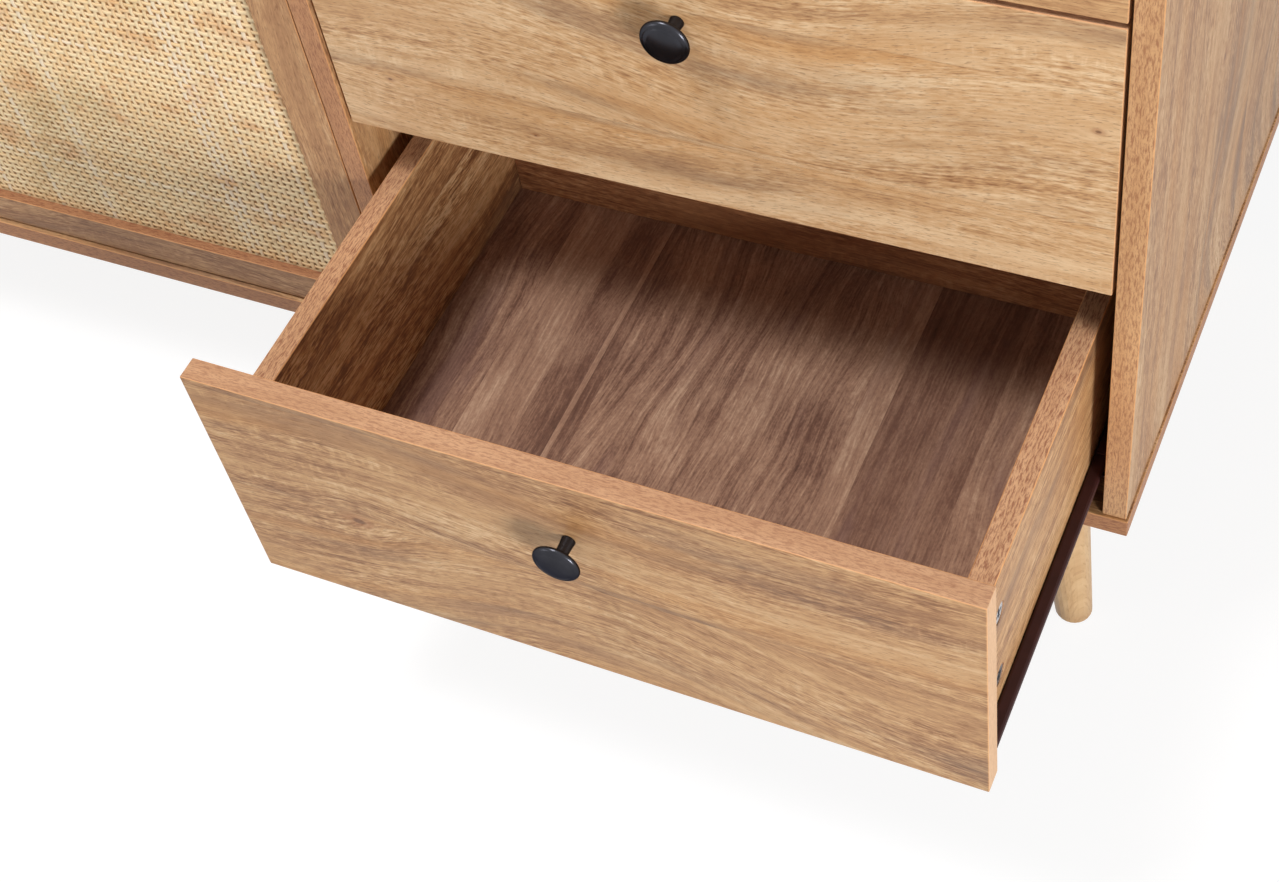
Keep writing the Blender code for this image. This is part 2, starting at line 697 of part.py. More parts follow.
def door(index, label, hinge_way, panels):
    """A rebated frame round a cane sheet; hinge_way is -1 for pins at the left, 1 at the right."""
    left = bay_left(index) + DOOR_GAP
    right = bay_left(index) + BAY_WIDTH - DOOR_GAP
    low = BASE_TOP + DOOR_GAP
    high = TOP_UNDERSIDE - DOOR_GAP
    face = FRONT_FACE
    rear = face + FRONT_THICK
    rebate_face = face + DOOR_LIP
    hinge_edge = left if hinge_way < 0 else right
    pivot_x = hinge_edge - hinge_way * PIVOT_INSET
    pivot_y = face + PIVOT_SETBACK
    body = axis_empty(label, (pivot_x, pivot_y, low))
    opening_left = left + DOOR_STILE
    opening_right = right - DOOR_STILE
    opening_low = low + DOOR_RAIL
    opening_high = high - DOOR_RAIL
    rebate_low = (opening_left - DOOR_REBATE, rebate_face, opening_low - DOOR_REBATE)
    rebate_high = (opening_right + DOOR_REBATE, rear + BOARD, opening_high + DOOR_REBATE)

    stiles = {}
    for way, stile_low, stile_high in ((-1, left, opening_left), (1, opening_right, right)):
        role = "hinge" if way == hinge_way else "free"
        stile = board(
            f"{label}_{role}_stile",
            (stile_low, face, low),
            (stile_high, rear, high),
            OAK,
            body,
            steps=ARRIS_STEPS,
        )
        cut_box(
            stile,
            "rebate",
            (rebate_low[0], rebate_face, low - BOARD),
            (rebate_high[0], rear + BOARD, high + BOARD),
        )
        stiles[way] = stile

    for name, rail_low, rail_high in (("bottom", low, opening_low), ("top", opening_high, high)):
        rail = board(
            f"{label}_{name}_rail",
            (rebate_low[0] + SEAT, face, rail_low),
            (rebate_high[0] - SEAT, rear, rail_high),
            OAK,
            body,
            steps=ARRIS_STEPS,
        )
        for end_name, shoulder_low, shoulder_high in (
            ("left", left, opening_left + SEAT),
            ("right", opening_right - SEAT, right),
        ):
            cut_box(
                rail,
                f"{end_name}_shoulder",
                (shoulder_low, face - BOARD, low - BOARD),
                (shoulder_high, rebate_face + SEAT, high + BOARD),
            )
        cut_box(rail, "rebate", (left, rebate_face, rebate_low[2]), (right, rear + BOARD, rebate_high[2]))

    shape, middle = box_mesh(
        (rebate_low[0] + SEAT, rebate_face + SEAT, rebate_low[2] + SEAT),
        (rebate_high[0] - SEAT, rebate_face + SEAT + CANE_THICK, rebate_high[2] - SEAT),
    )
    finish(place(shape, f"{label}_cane_panel", middle, body), CANE)

    free_stile_middle = (left + right) / 2 - hinge_way * ((right - left) / 2 - DOOR_STILE / 2)
    knob(f"{label}_knob", Vector((free_stile_middle, face, low + DOOR_KNOB_HEIGHT)), body)

    for name, door_end, way, panel in (
        ("lower", low, -1, panels["base_panel"]),
        ("upper", high, 1, panels["top_panel"]),
    ):
        pivot_pin(f"{label}_{name}_pin", (pivot_x, pivot_y), door_end, way, body)
        drill = PIN_RADIUS + PIN_BORE_CLEARANCE
        cut_bore(
            stiles[hinge_way], f"{name}_pin", (pivot_x, pivot_y, door_end), drill,
            2 * (PIN_IN_DOOR + SEAT), "Z", PIN_SIDES,
        )
        cut_bore(
            panel, f"{label}_pin", (pivot_x, pivot_y, door_end + way * DOOR_GAP), drill,
            2 * (PIN_IN_CASE + SEAT), "Z", PIN_SIDES,
        )


def pivot_pin(name, axis_xy, door_end, way, body):
    """A pin with a collar that carries the door between its end and the case."""
    gap_end = DOOR_GAP - SEAT
    shape = turned_mesh(
        [
            (0.0, -PIN_IN_DOOR),
            (PIN_RADIUS, -PIN_IN_DOOR),
            (PIN_RADIUS, SEAT),
            (PIN_COLLAR_RADIUS, SEAT),
            (PIN_COLLAR_RADIUS, gap_end),
            (PIN_RADIUS, gap_end),
            (PIN_RADIUS, DOOR_GAP + PIN_IN_CASE),
            (0.0, DOOR_GAP + PIN_IN_CASE),
        ],
        PIN_SIDES,
    )
    if way < 0:
        bmesh.ops.rotate(shape, matrix=Matrix.Rotation(math.pi, 3, "X"), verts=shape.verts)
    pin = place(shape, name, (*axis_xy, door_end), body)
    finish(pin, BRIGHT_STEEL)
    smooth(pin)


def build():
    """Make every piece of the sideboard."""
    panels = end_panels()
    uprights()
    shelves()
    back_sheet()
    for name, outward_x, outward_y in (
        ("front_left_leg", -1, -1),
        ("front_right_leg", 1, -1),
        ("rear_left_leg", -1, 1),
        ("rear_right_leg", 1, 1),
    ):
        splayed_leg(name, outward_x, outward_y)
    centre_leg()
    for index in range(DRAWER_COUNT):
        drawer(index)
    door(0, "left_door", -1, panels)
    door(1, "middle_door", 1, panels)


build()
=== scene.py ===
# %% [markdown]
# # A sideboard with cane doors
#
# The construction is already made: boards, runners, legs and pins arrive as
# fixed solids at their real size. This lesson gives them their looks. It covers
# the printed wood grain, the edge bands, the woven cane, the metal, the legs, the
# turned knobs and the small fittings. Then it sets up the light and the camera.

# %% Load the fixed solids
import math
import bmesh
import bpy
import numpy as np
from mathutils import Matrix, Vector


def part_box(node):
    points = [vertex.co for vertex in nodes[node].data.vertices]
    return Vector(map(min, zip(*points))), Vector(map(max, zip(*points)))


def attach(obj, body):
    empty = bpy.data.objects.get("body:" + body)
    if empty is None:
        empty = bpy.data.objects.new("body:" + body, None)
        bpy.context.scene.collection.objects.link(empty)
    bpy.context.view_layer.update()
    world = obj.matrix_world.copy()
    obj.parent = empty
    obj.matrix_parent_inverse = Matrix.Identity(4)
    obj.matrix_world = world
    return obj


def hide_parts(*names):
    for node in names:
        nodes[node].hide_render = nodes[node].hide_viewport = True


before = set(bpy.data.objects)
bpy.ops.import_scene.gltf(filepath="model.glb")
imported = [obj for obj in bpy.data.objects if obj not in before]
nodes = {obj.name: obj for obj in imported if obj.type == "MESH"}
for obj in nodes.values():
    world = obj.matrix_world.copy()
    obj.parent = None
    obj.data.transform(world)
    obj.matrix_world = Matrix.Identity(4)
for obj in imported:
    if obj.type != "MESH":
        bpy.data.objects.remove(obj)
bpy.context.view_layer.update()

LEVELS = ("bottom", "middle", "top")
DRAWERS = tuple(f"{level}_drawer" for level in LEVELS)
DOORS = ("left_door", "middle_door")
KNOB_OWNERS = DRAWERS + DOORS

# %% [markdown]
# ## Sums on sockets
#
# A material is easiest to read as arithmetic. The class below wraps one socket
# of a node tree. Adding or multiplying two of them adds a Math node, and one
# method adds any other node. The nodes could be added and linked one by one, but
# this way a formula for wood grain reads like a formula, not like a list of links.

# %% A socket that can be used in sums
class Wire:
    """One socket of a shader, on which ordinary arithmetic adds Math nodes."""

    def __init__(self, tree, socket=None):
        self.tree = tree
        self.socket = socket

    def node(self, kind, settings=None, sockets=None, out=0):
        """Add one node: its type, its settings first, then values or links for its sockets."""
        made = self.tree.nodes.new("ShaderNode" + kind)
        settings = dict(settings or {})
        stops = settings.pop("stops", None)
        for name, value in settings.items():
            setattr(made, name, value)
        if stops:
            ramp = made.color_ramp
            while len(ramp.elements) < len(stops):
                ramp.elements.new(1.0)
            for element, (place, colour) in zip(ramp.elements, stops):
                element.position = place
                element.color = colour
        for key, value in (sockets or {}).items():
            if isinstance(value, Wire):
                self.tree.links.new(value.socket, made.inputs[key])
            else:
                made.inputs[key].default_value = value
        return Wire(self.tree, made.outputs[out] if made.outputs else None)

    def sum(self, operation, *values):
        """One Math node on this socket and the values after it."""
        pairs = dict(enumerate(values))
        return self.node("Math", {"operation": operation}, pairs)

    def __add__(self, other):
        return self.sum("ADD", self, other)

    def __radd__(self, other):
        return self.sum("ADD", other, self)

    def __sub__(self, other):
        return self.sum("SUBTRACT", self, other)

    def __rsub__(self, other):
        return self.sum("SUBTRACT", other, self)

    def __mul__(self, other):
        return self.sum("MULTIPLY", self, other)

    def __rmul__(self, other):
        return self.sum("MULTIPLY", other, self)

    def __truediv__(self, other):
        return self.sum("DIVIDE", self, other)

    def __abs__(self):
        return self.sum("ABSOLUTE", self)

    def rise(self, low, high):
        """A soft step from 0 at low to 1 at high."""
        steps = {0: self, 1: low, 2: high, 3: 0.0, 4: 1.0}
        return self.node("MapRange", {"interpolation_type": "SMOOTHSTEP"}, steps)

    def mix(self, first, second):
        """This socket as the factor between two colours."""
        return self.node("Mix", {"data_type": "RGBA"}, {0: self, 6: first, 7: second}, out=2)

    def tinted(self, colour):
        """This colour multiplied by another."""
        settings = {"data_type": "RGBA", "blend_type": "MULTIPLY"}
        return self.node("Mix", settings, {0: 1.0, 6: self, 7: colour}, out=2)

    def other(self, name):
        """Another output of the same node."""
        return Wire(self.tree, self.socket.node.outputs[name])


def tone(red, green, blue):
    """A colour as it shows on screen, 0 to 255, for a colour socket."""
    linear = []
    for value in (red, green, blue):
        share = value / 255
        linear.append(share / 12.92 if share <= 0.04045 else ((share + 0.055) / 1.055) ** 2.4)
    return (*linear, 1.0)


print("sums on sockets are ready")

# %% [markdown]
# ## A material to start from
#
# Every finish of the sideboard ends in one Principled shader with a little bump.
# Values that are the same all over are set on the shader's own sockets, and only
# what changes over the surface is linked. Each finish could repeat those lines,
# but the small helpers here keep the rule in one place.

# %% Start and end of a material
def new_finish(name):
    """An empty material and the wire that nodes are added to."""
    material = bpy.data.materials.new(name)
    material.use_nodes = True
    material.node_tree.nodes.clear()
    return material, Wire(material.node_tree)


def close_finish(start, colour, roughness, bump, bump_height, **fixed):
    """Link the surface and set what is the same all over."""
    relief = start.node("Bump", sockets={"Height": bump, "Distance": bump_height, "Strength": 1.0})
    sockets = {"Base Color": colour, "Roughness": roughness, "Normal": relief}
    for name, value in fixed.items():
        sockets[name.replace("_", " ")] = value
    shader = start.node("BsdfPrincipled", sockets=sockets)
    start.node("OutputMaterial", sockets={0: shader})


def wear(node_name, material):
    """Give a fixed solid its finish."""
    solid = nodes[node_name]
    solid.data.materials.clear()
    solid.data.materials.append(material)


print("finishes end in one shader")

# %% [markdown]
# ## Grain that runs along a board
#
# The boards are covered with a printed acacia: strips side by side, each with a
# honey ground, grey-brown clouds, cream streaks and thousands of short dark
# pores. Stretched noise alone looks combed, because real grain swells into
# arches and pinches round knots. So the distance across the board is bent first,
# strip by strip, and every finer layer is read from the bent distance.

# %% Places on a piece, and noise that is stretched along it
SEED_SHIFT_ALONG = 1.37
SEED_SHIFT_ACROSS = 0.71


def object_place(start):
    """A point's X, Y and Z in metres, as three outputs."""
    return start.node("SeparateXYZ", sockets={0: start.node("TexCoord", out="Object")})


def board_places(start, along, across, seed):
    """Distances along and across a board in metres, moved so that no two boards match."""
    place = object_place(start)
    return place.other(along) + seed * SEED_SHIFT_ALONG, place.other(across) + seed * SEED_SHIFT_ACROSS


def stretched(start, u, v, per_u, per_v, depth, detail=2.0, rough=0.6):
    """Noise about zero with so many features per metre along and across the grain."""
    spot = start.node("CombineXYZ", sockets={0: u * per_u, 1: v * per_v, 2: depth})
    sockets = {"Vector": spot, "Scale": 1.0, "Detail": detail, "Roughness": rough}
    return start.node("TexNoise", sockets=sockets) - 0.5


def hill(start, distance, reach):
    """A smooth hill, 1 at no distance and near 0 beyond the reach."""
    share = distance / reach
    return start.sum("EXPONENT", share * share * -1.0)


print("noise is ready to be stretched")

# %% Bent distances across a board
STRIP_SHIFT = 2.9
SEAM_SHARE = 0.010
SWELL = 0.10
RIPPLE = 0.007
ARCH_EDGE = 0.004
KNOT_STRETCH = 1.8


def bend_grain(start, u, v, seed, strip, wander, arches, knots):
    """Bend the grain strip by strip; also say how near the knots and the seams are."""
    lane = v / strip
    number = start.sum("FLOOR", lane)
    lot = start.node("TexWhiteNoise", {"noise_dimensions": "1D"}, {"W": number + seed}, out="Color")
    lots = start.node("SeparateXYZ", sockets={0: lot})
    seam = 1.0 - abs(abs(lane - number - 0.5) - 0.5).rise(0.0, SEAM_SHARE)
    along = u + lots * STRIP_SHIFT
    swell = stretched(start, along, v, 2.3, 2.0, seed, 1.0)
    bent = v + swell * lots.other("Y") * (SWELL * wander) + lots.other("Z")
    bent = bent + stretched(start, along, v, 8.0, 22.0, seed + 3.0, 3.0) * (RIPPLE * wander)
    for arch_u, arch_v, height, reach in arches:
        inside = (v - (arch_v + seed * SEED_SHIFT_ACROSS)).rise(0.0, ARCH_EDGE)
        inside = 1.0 - inside if height > 0 else inside
        bent = bent - hill(start, u - (arch_u + seed * SEED_SHIFT_ALONG), reach) * inside * height
    nearness = 0.0
    for knot_u, knot_v, size in knots:
        du = (u - (knot_u + seed * SEED_SHIFT_ALONG)) / (size * KNOT_STRETCH)
        dv = (v - (knot_v + seed * SEED_SHIFT_ACROSS)) / size
        near = start.sum("EXPONENT", (du * du + dv * dv) * -1.0)
        wide = start.sum("EXPONENT", (du * du * 0.14 + dv * dv * 0.10) * -1.0)
        bent = bent - dv * wide * (size * 0.6)
        nearness = near + nearness
    return along, bent, nearness, seam


print("grain can be bent")

# %% [markdown]
# ## The printed grain and the edge band
#
# One number, from dark to light, is added up from layers: broad bands, clouds,
# streaks and fibres. A ramp turns it into umber, honey and cream, two slow layers
# pull it towards grey or gold, and dark pores lie over it. The narrow faces of
# each board wear a plain orange-brown band with fine flecks, and a pale orange
# line of painted highlight runs along the rounded arris. Two materials on each
# board could do that. The shader tells the two apart by the surface's own
# direction instead, so that one material does a board and no face is picked.

# %% The printed grain
DARK = tone(126, 84, 52)
UMBER = tone(168, 122, 82)
HONEY = tone(208, 164, 116)
CREAM = tone(236, 203, 160)
GOLD = tone(214, 156, 92)
SMOKE = tone(142, 120, 100)
RUST = tone(168, 112, 72)
KNOT = tone(92, 54, 34)


def grain_colour(
    start, u, v, seed, strip=0.095, wander=1.0, arches=(), knots=(),
    smoke=0.5, gold=0.38, light=0.0, contrast=1.0, tint=None,
):
    """The print's colour, and a height for its pores."""
    along, bent, nearness, seam = bend_grain(start, u, v, seed, strip, wander, arches, knots)
    broad = stretched(start, along, bent, 1.2, 24.0, seed)
    band = stretched(start, along, bent, 2.2, 105.0, seed + 7.0, 4.0, 0.55)
    streak = stretched(start, along, bent, 14.0, 420.0, seed + 11.0, 3.0)
    dash = stretched(start, along, bent, 110.0, 620.0, seed + 13.0, 2.0)
    cloud = stretched(start, along, bent, 10.0, 24.0, seed + 17.0, 4.0)
    pores = stretched(start, along, bent, 150.0, 1100.0, seed + 19.0).rise(0.05, 0.20)
    mottle = stretched(start, along, v, 55.0, 160.0, seed + 15.0, 3.0)
    busy = stretched(start, along, bent, 5.0, 22.0, seed + 53.0, 2.0).rise(-0.16, 0.16) + 0.45
    fine = streak * 0.75 + dash * 1.05 + mottle * 0.55
    level = broad * 0.6 + band * 0.8 + cloud * 0.7 + fine * busy
    level = level * contrast + (0.47 + light)
    smoky = stretched(start, along, bent, 3.0, 20.0, seed + 23.0, 3.0)
    golden = stretched(start, along, bent, 2.0, 26.0, seed + 29.0)
    level = level - smoky.rise(0.02, 0.24) * (0.24 * smoke)
    curl = stretched(start, along, v, 240.0, 45.0, seed + 31.0, 2.0)
    fringe = stretched(start, along, bent, 4.0, 40.0, seed + 37.0, 2.0).rise(0.02, 0.16)
    level = level + curl.rise(-0.02, 0.2) * fringe * 0.16
    colour = start.node("ValToRGB", {
        "stops": [(0.0, DARK), (0.30, UMBER), (0.58, HONEY), (0.95, CREAM)],
    }, {0: level})
    colour = (smoky.rise(0.0, 0.26) * (0.75 * smoke)).mix(colour, SMOKE)
    colour = (golden.rise(0.0, 0.20) * gold).mix(colour, GOLD)
    colour = (pores * 0.50).mix(colour, DARK)
    colour = (seam * 0.20).mix(colour, DARK)
    if knots:
        colour = (nearness.rise(0.10, 0.80) * 0.55).mix(colour, RUST)
        colour = (nearness.rise(0.80, 0.97) * 0.7).mix(colour, KNOT)
    if tint is not None:
        colour = colour.tinted(tint)
    return colour, dash * 0.8 - pores


print("the print runs from umber to cream")

# %% The edge band
BAND = tone(200, 153, 114)
BAND_DARK = tone(150, 98, 70)
BAND_PALE = tone(214, 168, 128)
BAND_END = tone(240, 198, 148)
# A pale orange painted highlight for the rounded arris.
ARRIS_HIGHLIGHT = tone(232, 168, 108)


def band_colour(start, u, v, seed, fleck_share):
    """Fine wavy flecks along a narrow edge, over slow changes of tone."""
    wave = stretched(start, u, v, 90.0, 80.0, seed + 45.0) * 0.0026
    line = stretched(start, u, v + wave, 150.0, 900.0, seed + 41.0, 3.0, 0.6)
    speck = stretched(start, u, v, 420.0, 1500.0, seed + 47.0, 2.0)
    cloud = stretched(start, u, v, 9.0, 90.0, seed + 43.0, 3.0)
    colour = cloud.rise(-0.15, 0.15).mix(BAND, BAND_PALE)
    colour = (line.rise(-0.06, 0.15) * fleck_share).mix(colour, BAND_DARK)
    colour = (speck.rise(0.02, 0.16) * fleck_share * 0.6).mix(colour, BAND_DARK)
    return colour, (line + speck) * -0.5


print("the band has its flecks")

# %% A whole board
BOARD_GLOSS_BREAK = 0.12
BOARD_RELIEF = 0.00010


def board_finish(
    name, along, across, thick, seed, flecks=0.75, edge_tint=None, end_lift=0.0, arris_highlight_share=0.6, **grain
):
    """A printed board whose narrow faces wear the band, with a painted highlight along the arris."""
    material, start = new_finish(name)
    u, v = board_places(start, along, across, seed)
    depth = object_place(start).other(thick)
    facing = start.node("SeparateXYZ", sockets={0: start.node("TexCoord", out="Normal")})
    flat = abs(facing.other(thick))
    end_on = abs(facing.other(along)).rise(0.4, 0.6)
    printed, pores = grain_colour(start, u, v, seed, **grain)
    long_band, long_fleck = band_colour(start, u, depth, seed, flecks)
    end_band, end_fleck = band_colour(start, v, depth, seed + 2.0, flecks)
    end_band = start.node("Mix", {"data_type": "RGBA"}, {0: end_lift, 6: end_band, 7: BAND_END}, out=2)
    band = end_on.mix(long_band, end_band)
    if edge_tint is not None:
        band = band.tinted(edge_tint)
    fleck = long_fleck * (1.0 - end_on) + end_fleck * end_on
    is_face = flat.rise(0.55, 0.95)
    colour = is_face.mix(band, printed)
    # Painted highlight: a pale orange line along the rounded arris, between face and band.
    arris_highlight = flat.rise(0.05, 0.20) * (1.0 - flat.rise(0.85, 0.97))
    colour = (arris_highlight * arris_highlight_share).mix(colour, ARRIS_HIGHLIGHT)
    height = pores * is_face + fleck * (1.0 - is_face)
    close_finish(start, colour, 0.52 - height * BOARD_GLOSS_BREAK, height, BOARD_RELIEF)
    return material


print("one finish dresses a whole board")

# %% [markdown]
# ## Dressing the boards
#
# Each board's grain runs along its length: across the fronts and rails, up the
# sides, stiles and dividers, and from front to back in the drawers' walls. These
# directions could be worked out from each board's sides, but a list says them in
# plain sight: along, across and through the board, and a seed of its own, so that
# no two boards show the same figure.

# %% Boards of the case
CASE_BOARDS = {
    "base_panel": ("X", "Y", "Z", 1.0),
    "top_panel": ("X", "Y", "Z", 2.0),
    "left_side_panel": ("Z", "Y", "X", 3.0),
    "right_side_panel": ("Z", "Y", "X", 4.0),
    "divider_1": ("Z", "Y", "X", 5.0),
    "divider_2": ("Z", "Y", "X", 6.0),
    "shelf_1": ("X", "Y", "Z", 7.0),
    "shelf_2": ("X", "Y", "Z", 8.0),
}
PLAIN_GRAIN = {"smoke": 0.5, "edge_tint": tone(236, 222, 206)}
SIDE_GRAIN = {
    "smoke": 0.8,
    "light": 0.03,
    "tint": tone(229, 225, 224),
    "strip": 0.150,
    "edge_tint": tone(255, 254, 240),
}
# An arch is (place along, place across, height, reach), and a knot is (along, across, size).
RIGHT_SIDE_FIGURE = {
    "arches": [(0.240, 0.070, -0.045, 0.090)],
    "knots": [(0.409, 0.0715, 0.0042)],
}
CASE_GRAIN = {
    "base_panel": {**PLAIN_GRAIN, "edge_tint": tone(220, 198, 174)},
    "left_side_panel": SIDE_GRAIN,
    "right_side_panel": {**SIDE_GRAIN, **RIGHT_SIDE_FIGURE},
}
for name, (along, across, thick, seed) in CASE_BOARDS.items():
    grain = CASE_GRAIN.get(name, PLAIN_GRAIN)
    wear(name, board_finish(name + "_print", along, across, thick, seed, **grain))
print("case boards:", len(CASE_BOARDS))

# %% Fronts, walls and backs of the drawers
FRONT_FIGURES = {
    "bottom": {
        "arches": [(0.495, 0.267, 0.042, 0.125)],
        "knots": [(0.352, 0.262, 0.007)],
        "tint": tone(243, 240, 238),
    },
    "middle": {
        "arches": [(0.560, 0.414, -0.028, 0.120)],
        "knots": [(0.730, 0.489, 0.0026), (0.300, 0.414, 0.0022), (0.394, 0.393, 0.0016)],
        "light": 0.20,
        "contrast": 0.86,
        "tint": tone(250, 250, 252),
    },
    "top": {
        "arches": [(0.410, 0.620, -0.050, 0.110)],
        "knots": [(0.640, 0.700, 0.004)],
    },
}
FRONT_GRAIN = {
    "flecks": 0.55,
    "edge_tint": tone(254, 253, 255),
    "end_lift": 0.5,
    "smoke": 0.8,
    "wander": 0.8,
}
WALL_GRAIN = {"flecks": 0.95, "strip": 0.110, "smoke": 0.8, "gold": 0.1, "tint": tone(244, 238, 230)}
WALLS = (("left_wall", 1.0, 2.00), ("right_wall", 2.0, 0.90))
BACK_TINT = tone(236, 218, 214)
FIRST_DRAWER_SEED = 11.0
SEEDS_PER_DRAWER = 5
for number, (level, label) in enumerate(zip(LEVELS, DRAWERS)):
    seed = FIRST_DRAWER_SEED + SEEDS_PER_DRAWER * number
    grain = {**FRONT_GRAIN, **FRONT_FIGURES[level]}
    wear(label + "_front", board_finish(label + "_front_print", "X", "Z", "Y", seed, **grain))
    for side, shift, contrast in WALLS:
        grain = {**WALL_GRAIN, "contrast": contrast}
        finish = board_finish(f"{label}_{side}_print", "Y", "Z", "X", seed + shift, **grain)
        wear(f"{label}_{side}", finish)
    back = board_finish(label + "_back_print", "X", "Z", "Y", seed + 3.0, tint=BACK_TINT)
    wear(label + "_back", back)
print("drawer boards:", len(DRAWERS) * (len(WALLS) + 2))

# %% Frames of the doors
STILE_GRAIN = {"light": 0.02, "smoke": 1.0, "gold": 0.05, "contrast": 0.8, "tint": tone(240, 234, 232)}
# The rails and their band are printed darker and greyer: partly their own tone, partly painted shade of the
# open drawer over the lower door.
RAIL_GRAIN_WITH_SHADE = {
    "light": -0.08,
    "smoke": 1.0,
    "gold": 0.05,
    "contrast": 1.0,
    "tint": tone(228, 222, 222),
    "edge_tint": tone(214, 196, 184),
}
DOOR_BOARDS = (
    ("hinge_stile", "Z", "X", STILE_GRAIN),
    ("free_stile", "Z", "X", STILE_GRAIN),
    ("bottom_rail", "X", "Z", RAIL_GRAIN_WITH_SHADE),
    ("top_rail", "X", "Z", RAIL_GRAIN_WITH_SHADE),
)
FIRST_DOOR_SEED = 31.0
SEEDS_PER_DOOR = 6
for number, label in enumerate(DOORS):
    for shift, (part, along, across, grain) in enumerate(DOOR_BOARDS):
        seed = FIRST_DOOR_SEED + SEEDS_PER_DOOR * number + shift
        wear(f"{label}_{part}", board_finish(f"{label}_{part}_print", along, across, "Y", seed, **grain))
print("door frame boards:", len(DOORS) * len(DOOR_BOARDS))

# %% [markdown]
# ## The drawer floors and the back sheet
#
# The thin floors carry the same kind of print in mauve brown, with strips of
# clearly different widths and tones. Even strips would look like the boards, so a
# ramp with hard steps holds each strip's tone in red and its liveliness in green.

# %% The strip print of thin sheets
SHEET_TONES = (tone(70, 46, 36), tone(124, 88, 72), tone(176, 138, 114), tone(218, 184, 156))
SHEET_TONE_PLACES = (0.08, 0.38, 0.66, 0.95)
MAUVE = tone(128, 96, 92)
STRIP_SPAN = 0.500
SHEET_SHIFT = 7.3
SHEET_SWELL = 0.085
SHEET_RIPPLE = 0.0035
SHEET_RELIEF = 0.00004


def sheet_finish(name, along, across, seed, strips, origin):
    """Brown strips side by side: each has its own tone, and its own flame of grain."""
    material, start = new_finish(name)
    place = object_place(start)
    u, v = place.other(along), place.other(across)
    share = (v - origin) / STRIP_SPAN
    steps = [(left / STRIP_SPAN, (shade, lively, 0.0, 1.0)) for left, shade, lively in strips]
    strip = start.node("ValToRGB", {"stops": steps}, {0: share})
    strip.socket.node.color_ramp.interpolation = "CONSTANT"
    chosen = start.node("SeparateColor", sockets={0: strip})
    shade, lively = chosen, chosen.other("Green")
    far = u + shade * SHEET_SHIFT + seed
    swell = stretched(start, far, v, 3.6, 5.0, seed, 2.0)
    ripple = stretched(start, far, v, 9.0, 20.0, seed + 2.0, 2.0)
    bent = v + swell * lively * SHEET_SWELL + ripple * lively * SHEET_RIPPLE
    broad = stretched(start, far, bent, 2.6, 36.0, seed + 3.0, 3.0)
    band = stretched(start, far, bent, 4.0, 190.0, seed + 5.0, 4.0, 0.55)
    streak = stretched(start, far, bent, 24.0, 520.0, seed + 7.0, 3.0)
    dash = stretched(start, far, bent, 120.0, 760.0, seed + 9.0)
    cloud = stretched(start, far, v, 13.0, 24.0, seed + 15.0, 4.0)
    speck = stretched(start, far, v, 420.0, 520.0, seed + 11.0)
    fine = streak * 0.65 + dash * 0.65 + speck * 0.40
    print_level = broad * lively + band * 0.85 + fine + cloud * 0.95
    level = shade + print_level * (lively * 0.6 + 0.4)
    stops = list(zip(SHEET_TONE_PLACES, SHEET_TONES))
    colour = start.node("ValToRGB", {"stops": stops}, {0: level})
    smoky = stretched(start, far, bent, 5.0, 30.0, seed + 23.0, 3.0)
    colour = (smoky.rise(0.05, 0.25) * 0.45).mix(colour, MAUVE)
    close_finish(start, colour, 0.44 - dash * 0.10, dash, SHEET_RELIEF)
    return material


print("strips can be printed")

# %% The floors and the back sheet
# Each strip's left edge in metres, its tone from 0 to 1, and how lively its grain is.
FLOOR_STRIPS = [
    (0.000, 0.50, 0.7),
    (0.052, 0.68, 0.4),
    (0.090, 0.45, 0.5),
    (0.117, 0.64, 0.2),
    (0.120, 0.40, 0.5),
    (0.130, 0.57, 0.7),
    (0.295, 0.64, 0.4),
    (0.313, 0.45, 0.2),
    (0.377, 0.56, 0.5),
    (0.403, 0.46, 0.5),
]
BACK_STRIPS = [
    (0.000, 0.46, 0.8),
    (0.110, 0.58, 0.6),
    (0.165, 0.40, 0.5),
    (0.290, 0.54, 1.0),
    (0.420, 0.46, 0.6),
]
FIRST_FLOOR_SEED = 51.0
BACK_SEED = 57.0
BACK_STRIPS_FROM = -0.75
for number, label in enumerate(DRAWERS):
    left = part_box(f"{label}_left_wall")[1].x
    finish = sheet_finish(f"{label}_strips", "Y", "X", FIRST_FLOOR_SEED + number, FLOOR_STRIPS, left)
    wear(f"{label}_floor", finish)
wear("back_panel", sheet_finish("back_strips", "Z", "X", BACK_SEED, BACK_STRIPS, BACK_STRIPS_FROM))
print("strip prints:", len(DRAWERS) + 1)

# %% [markdown]
# ## The woven cane
#
# The door panels are an open plain weave of flat cane: each strand goes over one
# neighbour and under the next. A picture of a weave would look flat from the
# side, so every strand is real. The strand's line is worked out crossing by
# crossing, and a flattened six-sided section follows it.

# %% Strands of the weave
CANE_PITCH = 0.0053
STRAND_WIDTH = 0.0035
STRAND_THICK = 0.0009
STRAND_LIFT = 0.0004
STRAND_WIDTH_SHARES = (0.86, 1.10)
STRAND_DRIFT = 0.0002
STRAND_SWAY = 0.00012
STRAND_SHARP_ANGLE = 70
PALE_CHANCE = 0.04
PLAIN_TONE_LIMIT = 0.55
# Points of the section, as shares of the strand's width and thickness.
SECTION = [
    (-0.5, 0.0),
    (-0.28, 0.5),
    (0.28, 0.5),
    (0.5, 0.0),
    (0.28, -0.5),
    (-0.28, -0.5),
]


